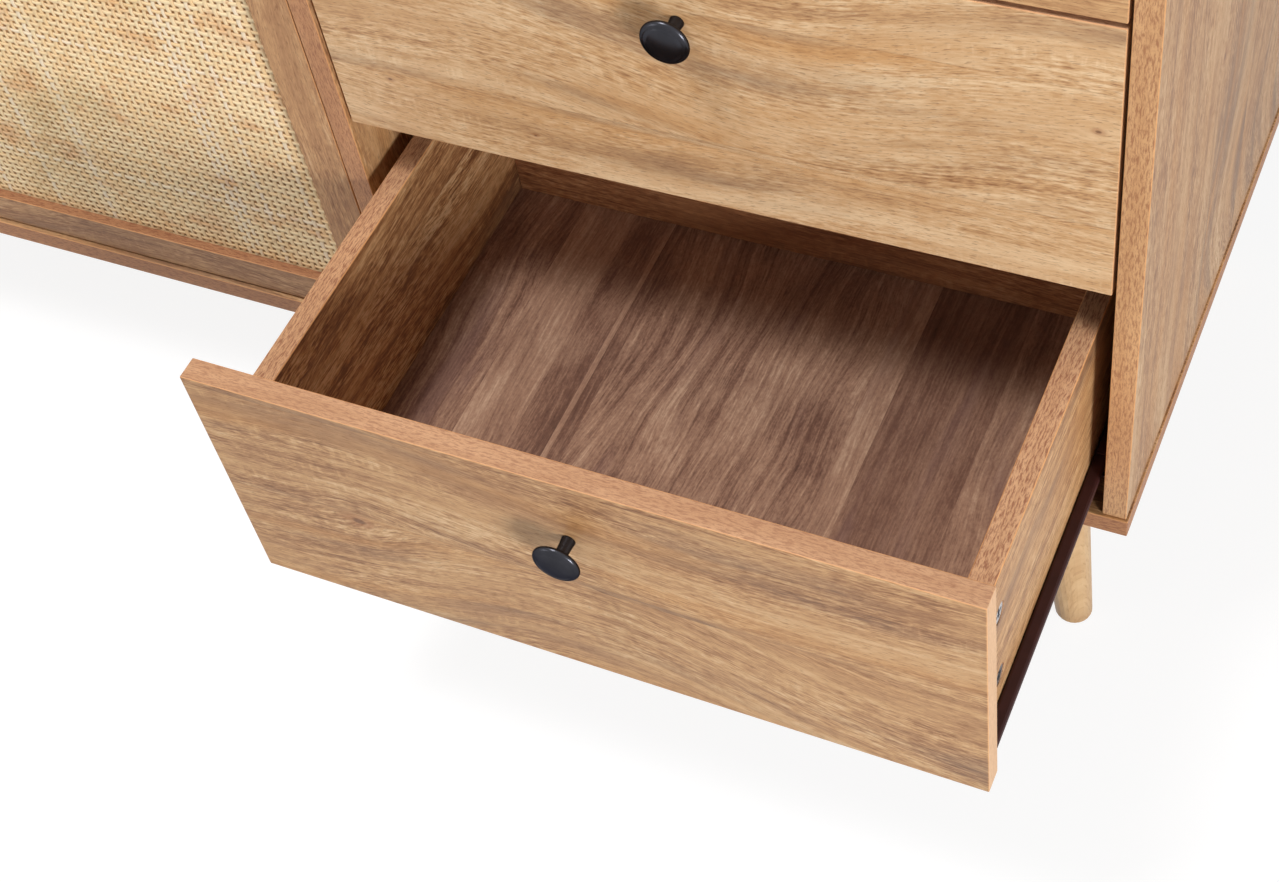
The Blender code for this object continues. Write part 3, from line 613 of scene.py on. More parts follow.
def lay_strand(rng, upright, strand, steps, corner, pale):
    """One strand's points, a ring of its section at each crossing, and its tone."""
    left, depth, foot = corner
    width = STRAND_WIDTH * rng.uniform(*STRAND_WIDTH_SHARES)
    drift = rng.uniform(-STRAND_DRIFT, STRAND_DRIFT)
    shade = rng.uniform(0.0, PLAIN_TONE_LIMIT)
    if rng.uniform(0.0, 1.0) < PALE_CHANCE or pale:
        shade = 1.0
    points = []
    for step in range(steps):
        over = 1 if (strand + step) % 2 == (0 if upright else 1) else -1
        sway = drift + rng.uniform(-STRAND_SWAY, STRAND_SWAY)
        centre = (strand + 0.5) * CANE_PITCH + sway
        reach = (step + 0.5) * CANE_PITCH
        if step == 0:
            reach = 0.0
        if step == steps - 1:
            reach = steps * CANE_PITCH
        for side, rise in SECTION:
            across = centre + side * width
            y = depth - over * STRAND_LIFT - rise * STRAND_THICK
            x, z = (across, reach) if upright else (reach, across)
            points.append((left + x, y, foot + z))
    return points, shade


def strand_faces(first, steps):
    """The faces round a strand whose points start at first, closed at both ends."""
    ring = len(SECTION)
    faces = []
    for step in range(steps - 1):
        here = first + step * ring
        for corner in range(ring):
            turn = (corner + 1) % ring
            faces.append((here + corner, here + turn, here + ring + turn, here + ring + corner))
    faces.append(tuple(range(first, first + ring)))
    last = first + (steps - 1) * ring
    faces.append(tuple(range(last + ring - 1, last - 1, -1)))
    return faces


print("strand section points:", len(SECTION))


# %% Both sets of strands
def weave_mesh(name, low, high, seed, pale_columns):
    """All strands of one panel as one mesh, with a tone for each strand and a mark for painted shade on its
    sides and back.
    """
    rng = np.random.default_rng(seed)
    columns = int((high.x - low.x) / CANE_PITCH)
    rows = int((high.z - low.z) / CANE_PITCH)
    left = (low.x + high.x - columns * CANE_PITCH) / 2
    foot = (low.z + high.z - rows * CANE_PITCH) / 2
    corner = (left, low.y + STRAND_LIFT + STRAND_THICK / 2, foot)
    points, faces, tones, edges = [], [], [], []
    for upright in (True, False):
        strands, steps = (columns, rows) if upright else (rows, columns)
        for strand in range(strands):
            pale = upright and strand in pale_columns
            laid, shade = lay_strand(rng, upright, strand, steps, corner, pale)
            faces.extend(strand_faces(len(points), steps))
            points.extend(laid)
            tones.extend([shade] * len(laid))
            # Points on a strand's sides and back are marked for painted shade.
            edges.extend([1.0 if rise <= 0.0 else 0.0 for _, rise in SECTION] * steps)
    mesh = bpy.data.meshes.new(name)
    mesh.from_pydata(points, [], faces)
    shade_of = mesh.attributes.new("strand_tone", "FLOAT", "POINT")
    shade_of.data.foreach_set("value", tones)
    edge_shade_of = mesh.attributes.new("strand_edge_shade", "FLOAT", "POINT")
    edge_shade_of.data.foreach_set("value", edges)
    facing_out = bmesh.new()
    facing_out.from_mesh(mesh)
    bmesh.ops.recalc_face_normals(facing_out, faces=facing_out.faces)
    facing_out.to_mesh(mesh)
    facing_out.free()
    mesh.shade_smooth()
    mesh.set_sharp_from_angle(angle=math.radians(STRAND_SHARP_ANGLE))
    return mesh


print("the weave repeats every", 2 * CANE_PITCH, "m")

# %% The colour of cane
CANE_RELIEF = 0.00004


def cane_finish():
    """Straw, with paler and browner strands, brown flecks where the stem had its joints, and painted brown
    shade on the strands' sides and backs.
    """
    material, start = new_finish("cane_straw")
    place = object_place(start)
    x, z = place.other("X"), place.other("Z")
    shade = start.node("Attribute", {"attribute_name": "strand_tone"}, out="Fac")
    cloud = stretched(start, x, z, 9.0, 9.0, 0.0, 3.0)
    hair = stretched(start, x, z, 900.0, 900.0, 3.0, 3.0)
    level = shade * 0.5 + cloud * 0.5 + hair * 0.3
    colour = level.rise(-0.10, 0.30).mix(tone(250, 211, 154), tone(255, 231, 186))
    colour = level.rise(0.32, 0.60).mix(colour, tone(253, 235, 206))
    blush = stretched(start, x, z, 26.0, 40.0, 5.0, 4.0).rise(0.02, 0.20)
    colour = (blush * 0.60).mix(colour, tone(222, 164, 110))
    grey = stretched(start, x, z, 14.0, 12.0, 11.0, 4.0).rise(0.04, 0.24)
    colour = (grey * 0.40).mix(colour, tone(196, 172, 120))
    stain = stretched(start, x, z, 70.0, 90.0, 7.0, 4.0, 0.7).rise(0.10, 0.28)
    colour = (stain * 0.85).mix(colour, tone(204, 130, 72))
    # Painted shade: the strands' sides and backs, by the holes, turn brown.
    edge = start.node("Attribute", {"attribute_name": "strand_edge_shade"}, out="Fac")
    colour = (edge.rise(0.25, 1.0) * 0.60).mix(colour, tone(180, 122, 72))
    close_finish(start, colour, 0.55 - hair * 0.15, hair, CANE_RELIEF)
    return material


cane_straw = cane_finish()
print("cane finish:", cane_straw.name)

# %% The woven panels
PALE_COLUMNS = {"left_door": (31, 32), "middle_door": (63, 64, 65)}
FIRST_WEAVE_SEED = 61
for number, label in enumerate(DOORS):
    low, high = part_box(f"{label}_cane_panel")
    seed = FIRST_WEAVE_SEED + number
    woven = weave_mesh(f"{label}_cane_weave", low, high, seed, PALE_COLUMNS[label])
    weave = bpy.data.objects.new(f"{label}_cane_weave", woven)
    bpy.context.collection.objects.link(weave)
    weave.data.materials.append(cane_straw)
    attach(weave, label)
    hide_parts(f"{label}_cane_panel")
    print(weave.name, "faces:", len(weave.data.polygons))

# %% [markdown]
# ## Metals and leg wood
#
# The knobs are dark and glossy, the runners are coated in a very dark brown, and
# the screws, cams and pins are zinc. Flat colours would do for pieces this small
# in the picture, but a slight cloudiness in the gloss keeps them from looking
# like plastic up close. The legs are a pale close-grained wood, a little darker
# towards the foot. A leg and its steel plate are one solid, so height tells them apart.

# %% Coated and bare metal
CLOUD_SCALE = 90.0
GRIT_SCALE = 1400.0
CLOUD_DARKNESS = 0.8


def metal_finish(name, colour, roughness, metallic, grit, **fixed):
    """A coated or bare metal with a slight cloudiness in its gloss."""
    material, start = new_finish(name)
    place = start.node("TexCoord", out="Object")
    cloud = start.node("TexNoise", sockets={"Vector": place, "Scale": CLOUD_SCALE, "Detail": 3.0})
    fine = start.node("TexNoise", sockets={"Vector": place, "Scale": GRIT_SCALE, "Detail": 2.0})
    dark = tuple(value * CLOUD_DARKNESS for value in colour[:3]) + (1.0,)
    mixed = cloud.rise(0.35, 0.65).mix(dark, colour)
    gloss = roughness + (cloud - 0.5) * 0.10
    close_finish(start, mixed, gloss, fine, grit, Metallic=metallic, **fixed)
    return material


FINE_GRIT = 0.000004
COARSE_GRIT = 0.00001
gunmetal = metal_finish(
    "gunmetal", tone(62, 62, 67), 0.25, 0.90, FINE_GRIT,
    Specular_Tint=(0.34, 0.34, 0.36, 1.0), Specular_IOR_Level=0.3,
)
brown_coat = metal_finish("brown_coat", tone(60, 30, 28), 0.55, 0.0, COARSE_GRIT, Specular_IOR_Level=0.25)
zinc = metal_finish("zinc", tone(196, 198, 202), 0.28, 1.0, FINE_GRIT)
black_plastic = metal_finish("black_plastic", tone(46, 42, 40), 0.45, 0.0, COARSE_GRIT)
print("metals:", [finish.name for finish in (gunmetal, brown_coat, zinc, black_plastic)])

# %% Leg wood with its steel plate
PLATE_THICK = 0.0025
PLATE_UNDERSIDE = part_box("centre_leg")[1].z - PLATE_THICK
PLATE_EDGE = 0.0002
PLATE_ROUGHNESS = 0.34
FOOT_DARKENING_HEIGHT = 0.022
LEG_RELIEF = 0.00004


def leg_finish():
    """Pale close grain with fine short rays, running up the leg to its steel plate."""
    material, start = new_finish("leg_wood")
    place = object_place(start)
    x, y, z = place.other("X"), place.other("Y"), place.other("Z")
    ring = stretched(start, z, x + y * 0.6, 5.0, 70.0, 0.0, 3.0)
    mottle = stretched(start, z, x - y, 60.0, 200.0, 2.0, 3.0)
    ray = stretched(start, z, x - y, 160.0, 1000.0, 4.0, 2.0)
    figure = (ring * 0.5 + mottle * 0.8).rise(-0.24, 0.20)
    colour = figure.mix(tone(196, 154, 108), tone(216, 180, 134))
    colour = (ray.rise(0.02, 0.18) * 0.5).mix(colour, tone(176, 130, 84))
    # Darker towards the foot, in patches.
    darker_foot = (1.0 - z.rise(0.0, FOOT_DARKENING_HEIGHT)) * (mottle.rise(-0.10, 0.16) * 0.6 + 0.4)
    colour = (darker_foot * 0.45).mix(colour, tone(150, 108, 70))
    plate = z.rise(PLATE_UNDERSIDE - PLATE_EDGE, PLATE_UNDERSIDE)
    colour = plate.mix(colour, tone(150, 151, 154))
    roughness = (0.44 - ray * 0.06) * (1.0 - plate) + plate * PLATE_ROUGHNESS
    close_finish(start, colour, roughness, ray * (1.0 - plate), LEG_RELIEF, Metallic=plate)
    return material


leg_wood = leg_finish()
print("plate underside:", round(PLATE_UNDERSIDE, 4))

# %% Runners, pins and legs get their finish
for name in nodes:
    if "_runner" in name:
        wear(name, brown_coat)
    elif name.endswith("_pin"):
        wear(name, zinc)
    elif name.endswith("_leg"):
        wear(name, leg_wood)
plain = [name for name in nodes if "_runner" in name or name.endswith(("_pin", "_leg"))]
print("solids in metal or leg wood:", len(plain))

# %% [markdown]
# ## Knobs
#
# A knob is turned: a slim stem under a low head with a round rim, and on the
# head a slightly raised face that catches a second thin line of light. The fixed
# solid has few sides, so the same profile is turned again with finer arcs and
# takes its place.

# %% The profile of a knob
KNOB_RADIUS = 0.0145
KNOB_LENGTH = 0.0205
KNOB_NECK = 0.0127
KNOB_RIM = 0.0162
KNOB_FACE_RADIUS = 0.0108
KNOB_FACE_EDGE = 0.0193
KNOB_STEP = 0.0005
KNOB_SIDES = 64
FACE_STEPS = 6
STEM_RADIUS = 0.0037
STEM_FOOT_RADIUS = 0.0043
STEM_FOOT_HEIGHT = 0.0004
STEM_FLARE = 0.0002
STEM_FLARE_TOP = 0.004
NECK_EASE = 0.0003
ARC_STEPS = 10


def quarter(centre, radii, first, last):
    """Points on an oval arc, from one angle to another in degrees."""
    points = []
    for step in range(ARC_STEPS + 1):
        angle = math.radians(first + (last - first) * step / ARC_STEPS)
        points.append((centre[0] + radii[0] * math.cos(angle), centre[1] + radii[1] * math.sin(angle)))
    return points


def knob_profile():
    """Half of a knob's section as (radius, height) points, from the foot to the face."""
    ledge = KNOB_FACE_RADIUS + KNOB_STEP
    stem = [
        (0.0, 0.0),
        (STEM_FOOT_RADIUS, 0.0),
        (STEM_FOOT_RADIUS, STEM_FOOT_HEIGHT),
        (STEM_RADIUS + STEM_FLARE, STEM_FLARE_TOP),
        (STEM_RADIUS, KNOB_NECK - NECK_EASE),
    ]
    under = quarter(
        (STEM_RADIUS, KNOB_RIM), (KNOB_RADIUS - STEM_RADIUS, KNOB_RIM - KNOB_NECK), -90, 0
    )
    over = quarter(
        (ledge, KNOB_RIM), (KNOB_RADIUS - ledge, KNOB_FACE_EDGE - KNOB_STEP - KNOB_RIM), 0, 90
    )
    face = [(KNOB_FACE_RADIUS, KNOB_FACE_EDGE)]
    for step in range(1, FACE_STEPS + 1):
        radius = KNOB_FACE_RADIUS * (1 - step / FACE_STEPS)
        share = radius / KNOB_FACE_RADIUS
        face.append((radius, KNOB_LENGTH - (KNOB_LENGTH - KNOB_FACE_EDGE) * share**2))
    return stem + under + over[1:] + face


print("knob profile points:", len(knob_profile()))


# %% Turned knobs
def turned(name, profile, sides, material):
    """Turn a profile of (radius, height) points about Z, in place at the origin."""
    mesh = bpy.data.meshes.new(name)
    shape = bmesh.new()
    points = [shape.verts.new((radius, 0.0, height)) for radius, height in profile]
    edges = [shape.edges.new(pair) for pair in zip(points, points[1:])]
    bmesh.ops.spin(
        shape, geom=points + edges, cent=(0, 0, 0), axis=(0, 0, 1), angle=math.tau, steps=sides,
        use_merge=True, use_duplicate=False,
    )
    bmesh.ops.remove_doubles(shape, verts=shape.verts, dist=1e-6)
    bmesh.ops.recalc_face_normals(shape, faces=shape.faces)
    shape.to_mesh(mesh)
    shape.free()
    mesh.shade_smooth()
    piece = bpy.data.objects.new(name, mesh)
    bpy.context.collection.objects.link(piece)
    piece.data.materials.append(material)
    return piece


for label in KNOB_OWNERS:
    low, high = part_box(f"{label}_knob")
    piece = turned(f"{label}_turned_knob", knob_profile(), KNOB_SIDES, gunmetal)
    piece.rotation_euler = (math.pi / 2, 0, 0)
    piece.location = ((low.x + high.x) / 2, high.y, (low.z + high.z) / 2)
    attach(piece, label)
    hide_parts(f"{label}_knob")
print("knobs:", len(KNOB_OWNERS))

# %% [markdown]
# ## Cams and screws
#
# The drawer walls are pulled against their front by cams: zinc drums in round
# bores, each turned through a cross in its face. The knobs, legs and runners
# are screwed on. All of these are round heads with a cross recess. The recess
# could be cut from a cylinder, but a cut leaves thin faces behind. So one
# function lays rings of points about the axis, bends their angles to the sides
# of the cross, and lowers the points that lie inside it.

# %% A round head with a cross recess
RECESS_EDGE = 0.0001
FLANK_STEPS = 5


def cross_head(radius, height, arm, arm_width, depth, dome=0.0, notched=False):
    """A closed round head standing on z = 0, with a cross recess in its top."""
    shape = bmesh.new()
    half = arm_width / 2
    outer_half = half + RECESS_EDGE
    # Each ring's radius, and the level of its points.
    rings = [
        (half * 1.45, "floor"),
        (outer_half * 1.55, "cross"),
        (arm, "cross"),
        (arm + RECESS_EDGE, "top"),
        (radius * 0.80, "top"),
        (radius * 0.94, "top"),
    ]

    def ring_points(ring_radius, level):
        """Thirty-two points: three across each arm and five between two arms."""
        reach = min(ring_radius, arm)
        inner = math.asin(min(1.0, half / reach))
        outer = math.asin(min(0.70, outer_half / reach))
        crown = height - dome * (ring_radius / radius) ** 2
        made = []
        for quadrant in range(4):
            base = quadrant * math.pi / 2
            open_side = notched and quadrant == 0
            for angle in (-inner, 0.0, inner):
                low = level in ("floor", "cross") or open_side
                made.append((base + angle, height - depth if low else crown))
            for step in range(FLANK_STEPS):
                angle = outer + (math.pi / 2 - 2 * outer) * step / (FLANK_STEPS - 1)
                made.append((base + angle, height - depth if level == "floor" else crown))
        return [
            shape.verts.new((ring_radius * math.cos(angle), ring_radius * math.sin(angle), z))
            for angle, z in made
        ]

    loops = [ring_points(ring_radius, level) for ring_radius, level in rings]
    angles = [math.atan2(point.co.y, point.co.x) for point in loops[-1]]
    drops = [point.co.z for point in loops[-1]]
    for ring_radius, lower in ((radius, 0.25), (radius, 1.0)):
        loops.append([
            shape.verts.new((
                ring_radius * math.cos(angle),
                ring_radius * math.sin(angle),
                0.0 if lower == 1.0 else min(z, (height - dome) * (1 - lower)),
            ))
            for angle, z in zip(angles, drops)
        ])
    for first, second in zip(loops, loops[1:]):
        for index in range(len(first)):
            after = (index + 1) % len(first)
            shape.faces.new((first[index], first[after], second[after], second[index]))
    centre = shape.verts.new((0.0, 0.0, height - depth))
    for index in range(len(loops[0])):
        shape.faces.new((centre, loops[0][(index + 1) % len(loops[0])], loops[0][index]))
    shape.faces.new(loops[-1])
    bmesh.ops.recalc_face_normals(shape, faces=shape.faces)
    return shape


print("heads have a cross recess")

# %% Setting heads in place and joining them
FITTING_SHARP_ANGLE = 32


def fitting(name, shapes, rider, material):
    """Join shapes that are already placed into one piece that rides on a body."""
    mesh = bpy.data.meshes.new(name)
    whole = bmesh.new()
    for shape in shapes:
        part = bpy.data.meshes.new(name + "_part")
        shape.to_mesh(part)
        shape.free()
        whole.from_mesh(part)
        bpy.data.meshes.remove(part)
    whole.to_mesh(mesh)
    whole.free()
    mesh.shade_smooth()
    mesh.set_sharp_from_angle(angle=math.radians(FITTING_SHARP_ANGLE))
    piece = bpy.data.objects.new(name, mesh)
    bpy.context.collection.objects.link(piece)
    piece.data.materials.append(material)
    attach(piece, rider)


def turned_to(shape, direction, spot, roll=0.0):
    """Point a shape's Z along a direction and set its foot on a spot."""
    aim = Vector(direction).to_track_quat("Z", "Y").to_matrix().to_4x4()
    where = Matrix.Translation(Vector(spot)) @ aim @ Matrix.Rotation(roll, 4, "Z")
    bmesh.ops.transform(shape, matrix=where, verts=shape.verts)
    return shape


print("heads can be set in place")

# %% Cams in the drawer walls
CAM = {"radius": 0.0072, "height": 0.0120, "arm": 0.0042, "arm_width": 0.0021, "depth": 0.0028}
CAM_SETBACK = 0.034
CAM_LIFT = 0.0385
CAM_SPACING = 0.064
CAM_BORE_DEPTH = 0.0125
CAM_TURN = 90
CAM_TURN_STEP = 7
SIDES = (("left", -1), ("right", 1))

for label in DRAWERS:
    for side, way in SIDES:
        low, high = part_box(f"{label}_{side}_wall")
        outer = low.x if way < 0 else high.x
        cams = []
        for step in range(2):
            up = low.z + CAM_LIFT + step * CAM_SPACING
            spot = (outer - way * CAM_BORE_DEPTH, low.y + CAM_SETBACK, up)
            roll = math.radians(CAM_TURN + CAM_TURN_STEP * step)
            cams.append(turned_to(cross_head(**CAM, notched=True), (way, 0, 0), spot, roll))
        fitting(f"{label}_{side}_cams", cams, label, zinc)
print("cam pairs:", len(SIDES) * len(DRAWERS))

# %% Knob screws
KNOB_SCREW = {
    "radius": 0.0042, "height": 0.0020, "arm": 0.0021, "arm_width": 0.0009, "depth": 0.0012, "dome": 0.0007,
}
KNOB_SCREW_TURN = 0.4
for label in KNOB_OWNERS:
    low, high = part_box(f"{label}_knob")
    board_name = f"{label}_front" if label in DRAWERS else f"{label}_free_stile"
    inner_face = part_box(board_name)[1].y
    spot = ((low.x + high.x) / 2, inner_face, (low.z + high.z) / 2)
    head = turned_to(cross_head(**KNOB_SCREW), (0, 1, 0), spot, KNOB_SCREW_TURN)
    fitting(f"{label}_knob_screw", [head], label, zinc)
print("knob screws:", len(KNOB_OWNERS))

# %% Runner screws
RUNNER_SCREW = {
    "radius": 0.0030, "height": 0.0005, "arm": 0.0017, "arm_width": 0.0008, "depth": 0.0003, "dome": 0.0001,
}
RUNNER_SCREW_PLACES = (0.060, 0.150, 0.240)
RUNNER_SCREW_LIFT = 0.0075
RUNNER_SCREW_TURN = 0.5
RUNNER_WEB = 0.0015
for label in DRAWERS:
    for side, way in SIDES:
        low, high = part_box(f"{label}_{side}_runner")
        wall_low, wall_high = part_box(f"{label}_{side}_wall")
        web = (wall_low.x if way < 0 else wall_high.x) + way * RUNNER_WEB
        heads = []
        for index, place in enumerate(RUNNER_SCREW_PLACES):
            spot = (web, low.y + place, wall_low.z + RUNNER_SCREW_LIFT)
            roll = RUNNER_SCREW_TURN + index
            heads.append(turned_to(cross_head(**RUNNER_SCREW), (way, 0, 0), spot, roll))
        fitting(f"{label}_{side}_runner_screws", heads, label, zinc)
print("runner screws:", len(DRAWERS) * len(SIDES) * len(RUNNER_SCREW_PLACES))

# %% Screws of the leg plates
PLATE_SCREW = {
    "radius": 0.0040, "height": 0.0018, "arm": 0.0021, "arm_width": 0.0009, "depth": 0.0011, "dome": 0.0006,
}
PLATE_SCREW_REACH = 0.024
PLATE_SLACK = 0.0001
legs = [name for name in nodes if name.endswith("_leg")]
for name in legs:
    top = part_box(name)[1]
    plate_from = top.z - PLATE_THICK - PLATE_SLACK
    plate_points = [point.co for point in nodes[name].data.vertices if point.co.z > plate_from]
    middle_x = (min(p.x for p in plate_points) + max(p.x for p in plate_points)) / 2
    middle_y = (min(p.y for p in plate_points) + max(p.y for p in plate_points)) / 2
    heads = []
    for along in (-1, 1):
        for across in (-1, 1):
            x = middle_x + along * PLATE_SCREW_REACH
            y = middle_y + across * PLATE_SCREW_REACH
            roll = 0.3 * along + across
            heads.append(turned_to(cross_head(**PLATE_SCREW), (0, 0, -1), (x, y, PLATE_UNDERSIDE), roll))
    fitting(f"{name}_screws", heads, "case", zinc)
print("plate screws:", 4 * len(legs))

# %% [markdown]
# ## Behind the doors
#
# The cane is held in its rebate by a thin wooden bead on each side, mitred at
# the corners. The holes of the weave show an even brown, so a brown cloth backs
# it. A black magnetic catch hangs under the top at each door's free side and
# meets a small steel plate on the door. A closed door hides all but the cloth's
# colour, but an open one shows them. Four straight beads would cross at the
# corners, so each frame is one section that goes round all four.

# %% Beads behind the cane
BEAD_CLEARANCE = 0.0002
BEAD_SEAT = 0.0001
BEAD_SEED = 71.0
# Points of the section, as distances in from the rebate and back from the cane.
BEAD_SECTION = [
    (0.0, 0.0),
    (0.0052, 0.0),
    (0.0052, 0.0026),
    (0.0044, 0.0042),
    (0.0026, 0.0050),
    (0.0, 0.0050),
]


def bead_shape(left, right, foot, head, y):
    """One bead round an opening: a section that goes round four mitred corners."""
    shape = bmesh.new()
    loops = []
    corners = ((left, foot, 1, 1), (right, foot, -1, 1), (right, head, -1, -1), (left, head, 1, -1))
    for x, z, in_x, in_z in corners:
        loops.append([
            shape.verts.new((x + in_x * inward, y + depth, z + in_z * inward))
            for inward, depth in BEAD_SECTION
        ])
    for index, loop in enumerate(loops):
        after = loops[(index + 1) % 4]
        for corner in range(len(BEAD_SECTION)):
            turn = (corner + 1) % len(BEAD_SECTION)
            shape.faces.new((loop[corner], loop[turn], after[turn], after[corner]))
    bmesh.ops.recalc_face_normals(shape, faces=shape.faces)
    return shape


# The beads get only a faint painted highlight along their arris.
bead_grain = {"edge_tint": tone(236, 222, 208), "arris_highlight_share": 0.1, "light": -0.10}
bead_print = board_finish("cane_bead_print", "X", "Z", "Y", BEAD_SEED, **bead_grain)
for label in DOORS:
    low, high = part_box(f"{label}_cane_panel")
    bead = bead_shape(
        low.x + BEAD_CLEARANCE,
        high.x - BEAD_CLEARANCE,
        low.z + BEAD_CLEARANCE,
        high.z - BEAD_CLEARANCE,
        high.y + BEAD_SEAT,
    )
    fitting(f"{label}_cane_beads", [bead], label, bead_print)
print("frames of beads:", len(DOORS))

# %% A box with rounded edges


def rounded_box(size, middle, radius, steps=2):
    """A box with all its edges rounded."""
    shape = bmesh.new()
    bmesh.ops.create_cube(shape, size=1.0)
    bmesh.ops.scale(shape, vec=size, verts=shape.verts)
    bmesh.ops.bevel(
        shape, geom=shape.edges[:], offset=radius, segments=steps, profile=0.5, affect="EDGES"
    )
    bmesh.ops.translate(shape, vec=middle, verts=shape.verts)
    return shape


print("edges can be rounded")

# %% The backing cloth
BACKING_THICK = 0.00020
BACKING_MARGIN = 0.0003
BACKING_SEAT = 0.00002
BACKING_ROUND = 0.00008
THREAD_RELIEF = 0.00005


def cloth_finish():
    """Brown backing cloth with a fine thread each way."""
    material, start = new_finish("backing_cloth")
    place = object_place(start)
    x, z = place.other("X"), place.other("Z")
    warp = stretched(start, x, z, 1300.0, 60.0, 2.0)
    weft = stretched(start, x, z, 60.0, 1300.0, 4.0)
    patch = stretched(start, x, z, 12.0, 12.0, 6.0, 3.0)
    thread = warp + weft
    colour = (patch * 0.8 + thread).rise(-0.30, 0.30).mix(tone(204, 148, 88), tone(232, 184, 122))
    close_finish(start, colour, 0.85, thread, THREAD_RELIEF)
    return material


cloth = cloth_finish()
for label in DOORS:
    low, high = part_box(f"{label}_cane_panel")
    size = (high.x - low.x - 2 * BACKING_MARGIN, BACKING_THICK, high.z - low.z - 2 * BACKING_MARGIN)
    y = high.y - BACKING_THICK / 2 - BACKING_SEAT
    sheet = rounded_box(size, ((low.x + high.x) / 2, y, (low.z + high.z) / 2), BACKING_ROUND, 1)
    fitting(f"{label}_backing_cloth", [sheet], label, cloth)
print("backing cloths:", len(DOORS))

# %% Magnetic catches
CATCH_SIZE = (0.044, 0.014, 0.013)
CATCH_ROUND = 0.0015
CATCH_ASIDE = 0.022
CATCH_GAP = 0.0004
CATCH_SEAT = 0.0002
POLE_SIZE = (0.024, 0.0050, 0.0012)
POLE_ROUND = 0.0003
POLE_SPACING = 0.0026
STRIKE_SIZE = (0.038, 0.0010, 0.0095)
STRIKE_ROUND = 0.0004
STRIKE_SEAT = 0.0001
STRIKE_DROP = 0.0010
CATCH_WAYS = {"left_door": 1, "middle_door": -1}

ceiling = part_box("top_panel")[0].z
for label, way in CATCH_WAYS.items():
    low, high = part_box(f"{label}_free_stile")
    x = (low.x + high.x) / 2 - way * CATCH_ASIDE
    z = ceiling - CATCH_SIZE[2] / 2
    pole_face = high.y + STRIKE_SIZE[1] + CATCH_GAP
    body_at = (x, pole_face + CATCH_GAP + CATCH_SIZE[1] / 2, z - CATCH_SEAT)
    body = rounded_box(CATCH_SIZE, body_at, CATCH_ROUND)
    fitting(f"{label}_catch_body", [body], "case", black_plastic)
    poles = []
    for step in (-1, 1):
        pole_at = (x, pole_face + POLE_SIZE[1] / 2, z + step * POLE_SPACING)
        poles.append(rounded_box(POLE_SIZE, pole_at, POLE_ROUND, 1))
    fitting(f"{label}_catch_poles", poles, "case", zinc)
    strike_at = (x, high.y + STRIKE_SIZE[1] / 2 + STRIKE_SEAT, z - STRIKE_DROP)
    strike = rounded_box(STRIKE_SIZE, strike_at, STRIKE_ROUND, 1)
    fitting(f"{label}_strike_plate", [strike], label, zinc)
print("catches:", len(CATCH_WAYS))

# %% [markdown]
# ## Nails of the back sheet
#
# The back sheet sits in grooves at its edges, and small nails hold its middle to
# the dividers and the shelves. A picture of dots would vanish from the side, so
# each nail is a low head. All of them are one piece, because none moves alone.

# %% Rows of nails
NAIL = {
    "radius": 0.0022, "height": 0.0005, "arm": 0.0008, "arm_width": 0.0004, "depth": 0.0001, "dome": 0.0002,
}
DIVIDER_NAILS = 8
SHELF_NAILS = 5
DIVIDER_NAIL_MARGIN = 0.030
SHELF_NAIL_MARGIN = 0.040
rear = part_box("back_panel")[1].y
spots = []
for divider in ("divider_1", "divider_2"):
    low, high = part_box(divider)
    span = high.z - low.z - 2 * DIVIDER_NAIL_MARGIN
    for step in range(DIVIDER_NAILS):
        z = low.z + DIVIDER_NAIL_MARGIN + span * step / (DIVIDER_NAILS - 1)
        spots.append(((low.x + high.x) / 2, rear, z))
for shelf in ("shelf_1", "shelf_2"):
    low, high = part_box(shelf)
    span = high.x - low.x - 2 * SHELF_NAIL_MARGIN
    for step in range(SHELF_NAILS):
        x = low.x + SHELF_NAIL_MARGIN + span * step / (SHELF_NAILS - 1)
        spots.append((x, rear, (low.z + high.z) / 2))
nails = [turned_to(cross_head(**NAIL), (0, 1, 0), spot) for spot in spots]
fitting("back_sheet_nails", nails, "case", zinc)
print("nails:", len(nails))

# %% [markdown]
# ## Light, floor and camera
#
# The part stands on a plain white floor in soft studio light. Two clues give
# the lamps: the knobs throw short shadows to the left, so one lamp stands low at
# the right front, and the floor of the open drawer is bright up to a soft edge
# under the drawer above, so another hangs nearly overhead. A weak lamp at the
# left and an even glow fill the rest. Each lamp's level says how bright it
# alone makes a white surface that faces it, and its power follows from that.

# %% What the camera and mirrors see
WHITE = (1.0, 1.0, 1.0, 1.0)


def seen_share(start):
    """1 where the camera looks, straight or by way of metal or glass, and 0 for plain light."""
    ray = start.node("LightPath", out="Is Camera Ray")
    seen = ray + ray.other("Is Glossy Ray") + ray.other("Is Transmission Ray")
    return start.sum("MINIMUM", seen, 1.0)


print("the background can be told from the light")

# %% Floor
FLOOR_GREY = (0.44, 0.44, 0.44, 1.0)
SHADOW_GREY = (0.22, 0.22, 0.22, 1.0)
FLOOR_GLOW = 0.85
FLOOR_SIZE = 60.0
FLOOR_DROP = 0.0005


def floor_finish():
    """A floor that shows white to the camera and in metal, and still keeps shadows."""
    material, start = new_finish("floor_white")
    body = start.node("BsdfDiffuse", sockets={"Color": FLOOR_GREY})
    faint = start.node("BsdfDiffuse", sockets={"Color": SHADOW_GREY})
    glow = start.node("Emission", sockets={"Color": WHITE, "Strength": FLOOR_GLOW})
    lit = start.node("AddShader", sockets={0: faint, 1: glow})
    both = start.node("MixShader", sockets={0: seen_share(start), 1: body, 2: lit})
    start.node("OutputMaterial", sockets={0: both})
    return material


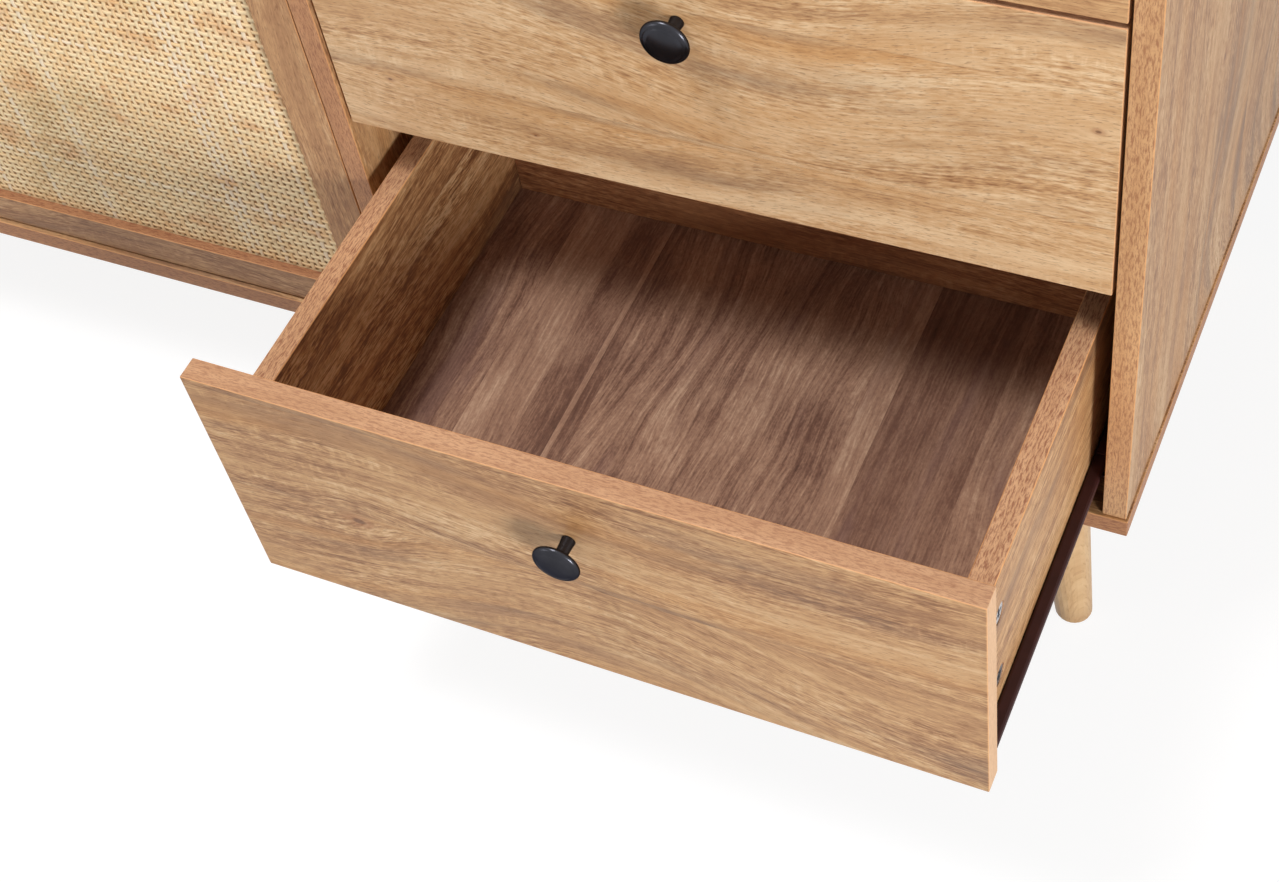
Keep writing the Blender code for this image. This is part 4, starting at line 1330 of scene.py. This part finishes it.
bpy.ops.mesh.primitive_plane_add(size=FLOOR_SIZE, location=(0.0, 0.0, -FLOOR_DROP))
floor = bpy.context.object
floor.name = "floor"
floor.data.materials.append(floor_finish())
print("floor:", FLOOR_SIZE, "m wide")

# %% Surroundings
ROOM_GLOW = 0.19
world = bpy.data.worlds.new("studio")
bpy.context.scene.world = world
world.use_nodes = True
world.node_tree.nodes.clear()
sky = Wire(world.node_tree)
glow = sky.node("Background", sockets={0: WHITE, 1: ROOM_GLOW})
white = sky.node("Background", sockets={0: WHITE, 1: 1.0})
shown = sky.node("MixShader", sockets={0: seen_share(sky), 1: glow, 2: white})
sky.node("OutputWorld", sockets={0: shown})
print("the surroundings glow at", ROOM_GLOW)

# %% Lamps
LIT_MIDDLE = Vector((0.45, -0.10, 0.35))


def lamp(name, direction, distance, size, level):
    """A square lamp in a direction from the drawers, at a level for a white surface."""
    light = bpy.data.lights.new(name, "AREA")
    light.shape = "SQUARE"
    light.size = size
    light.energy = level * math.pi**2 * distance**2
    holder = bpy.data.objects.new(name, light)
    bpy.context.collection.objects.link(holder)
    towards = Vector(direction).normalized()
    holder.location = LIT_MIDDLE + towards * distance
    holder.rotation_euler = towards.to_track_quat("Z", "Y").to_euler()
    print(name, "power", round(light.energy), "W")


# Each lamp has a name, a direction, a distance, a size and a level.
lamp("top_lamp", (-0.25, -0.24, 0.94), 2.6, 0.7, 0.62)
lamp("right_lamp", (0.80, -0.57, 0.17), 3.0, 0.8, 0.80)
lamp("left_lamp", (-0.70, -0.68, 0.30), 3.0, 1.0, 0.10)

# %% Camera
scene = bpy.context.scene
scene.view_settings.view_transform = "Standard"
CAMERA_AT = (0.92808, -0.83173, 1.25829)
CAMERA_TURN = (37.4186, 7.8307, 24.1581)
SENSOR_WIDTH = 36.0
LENS = 59.5035
eye = bpy.data.cameras.new("camera")
eye.sensor_width = SENSOR_WIDTH
eye.lens = LENS
eye.clip_start = 0.02
camera = bpy.data.objects.new("camera", eye)
bpy.context.collection.objects.link(camera)
camera.location = CAMERA_AT
camera.rotation_euler = [math.radians(angle) for angle in CAMERA_TURN]
scene.camera = camera
print("camera at", CAMERA_AT)
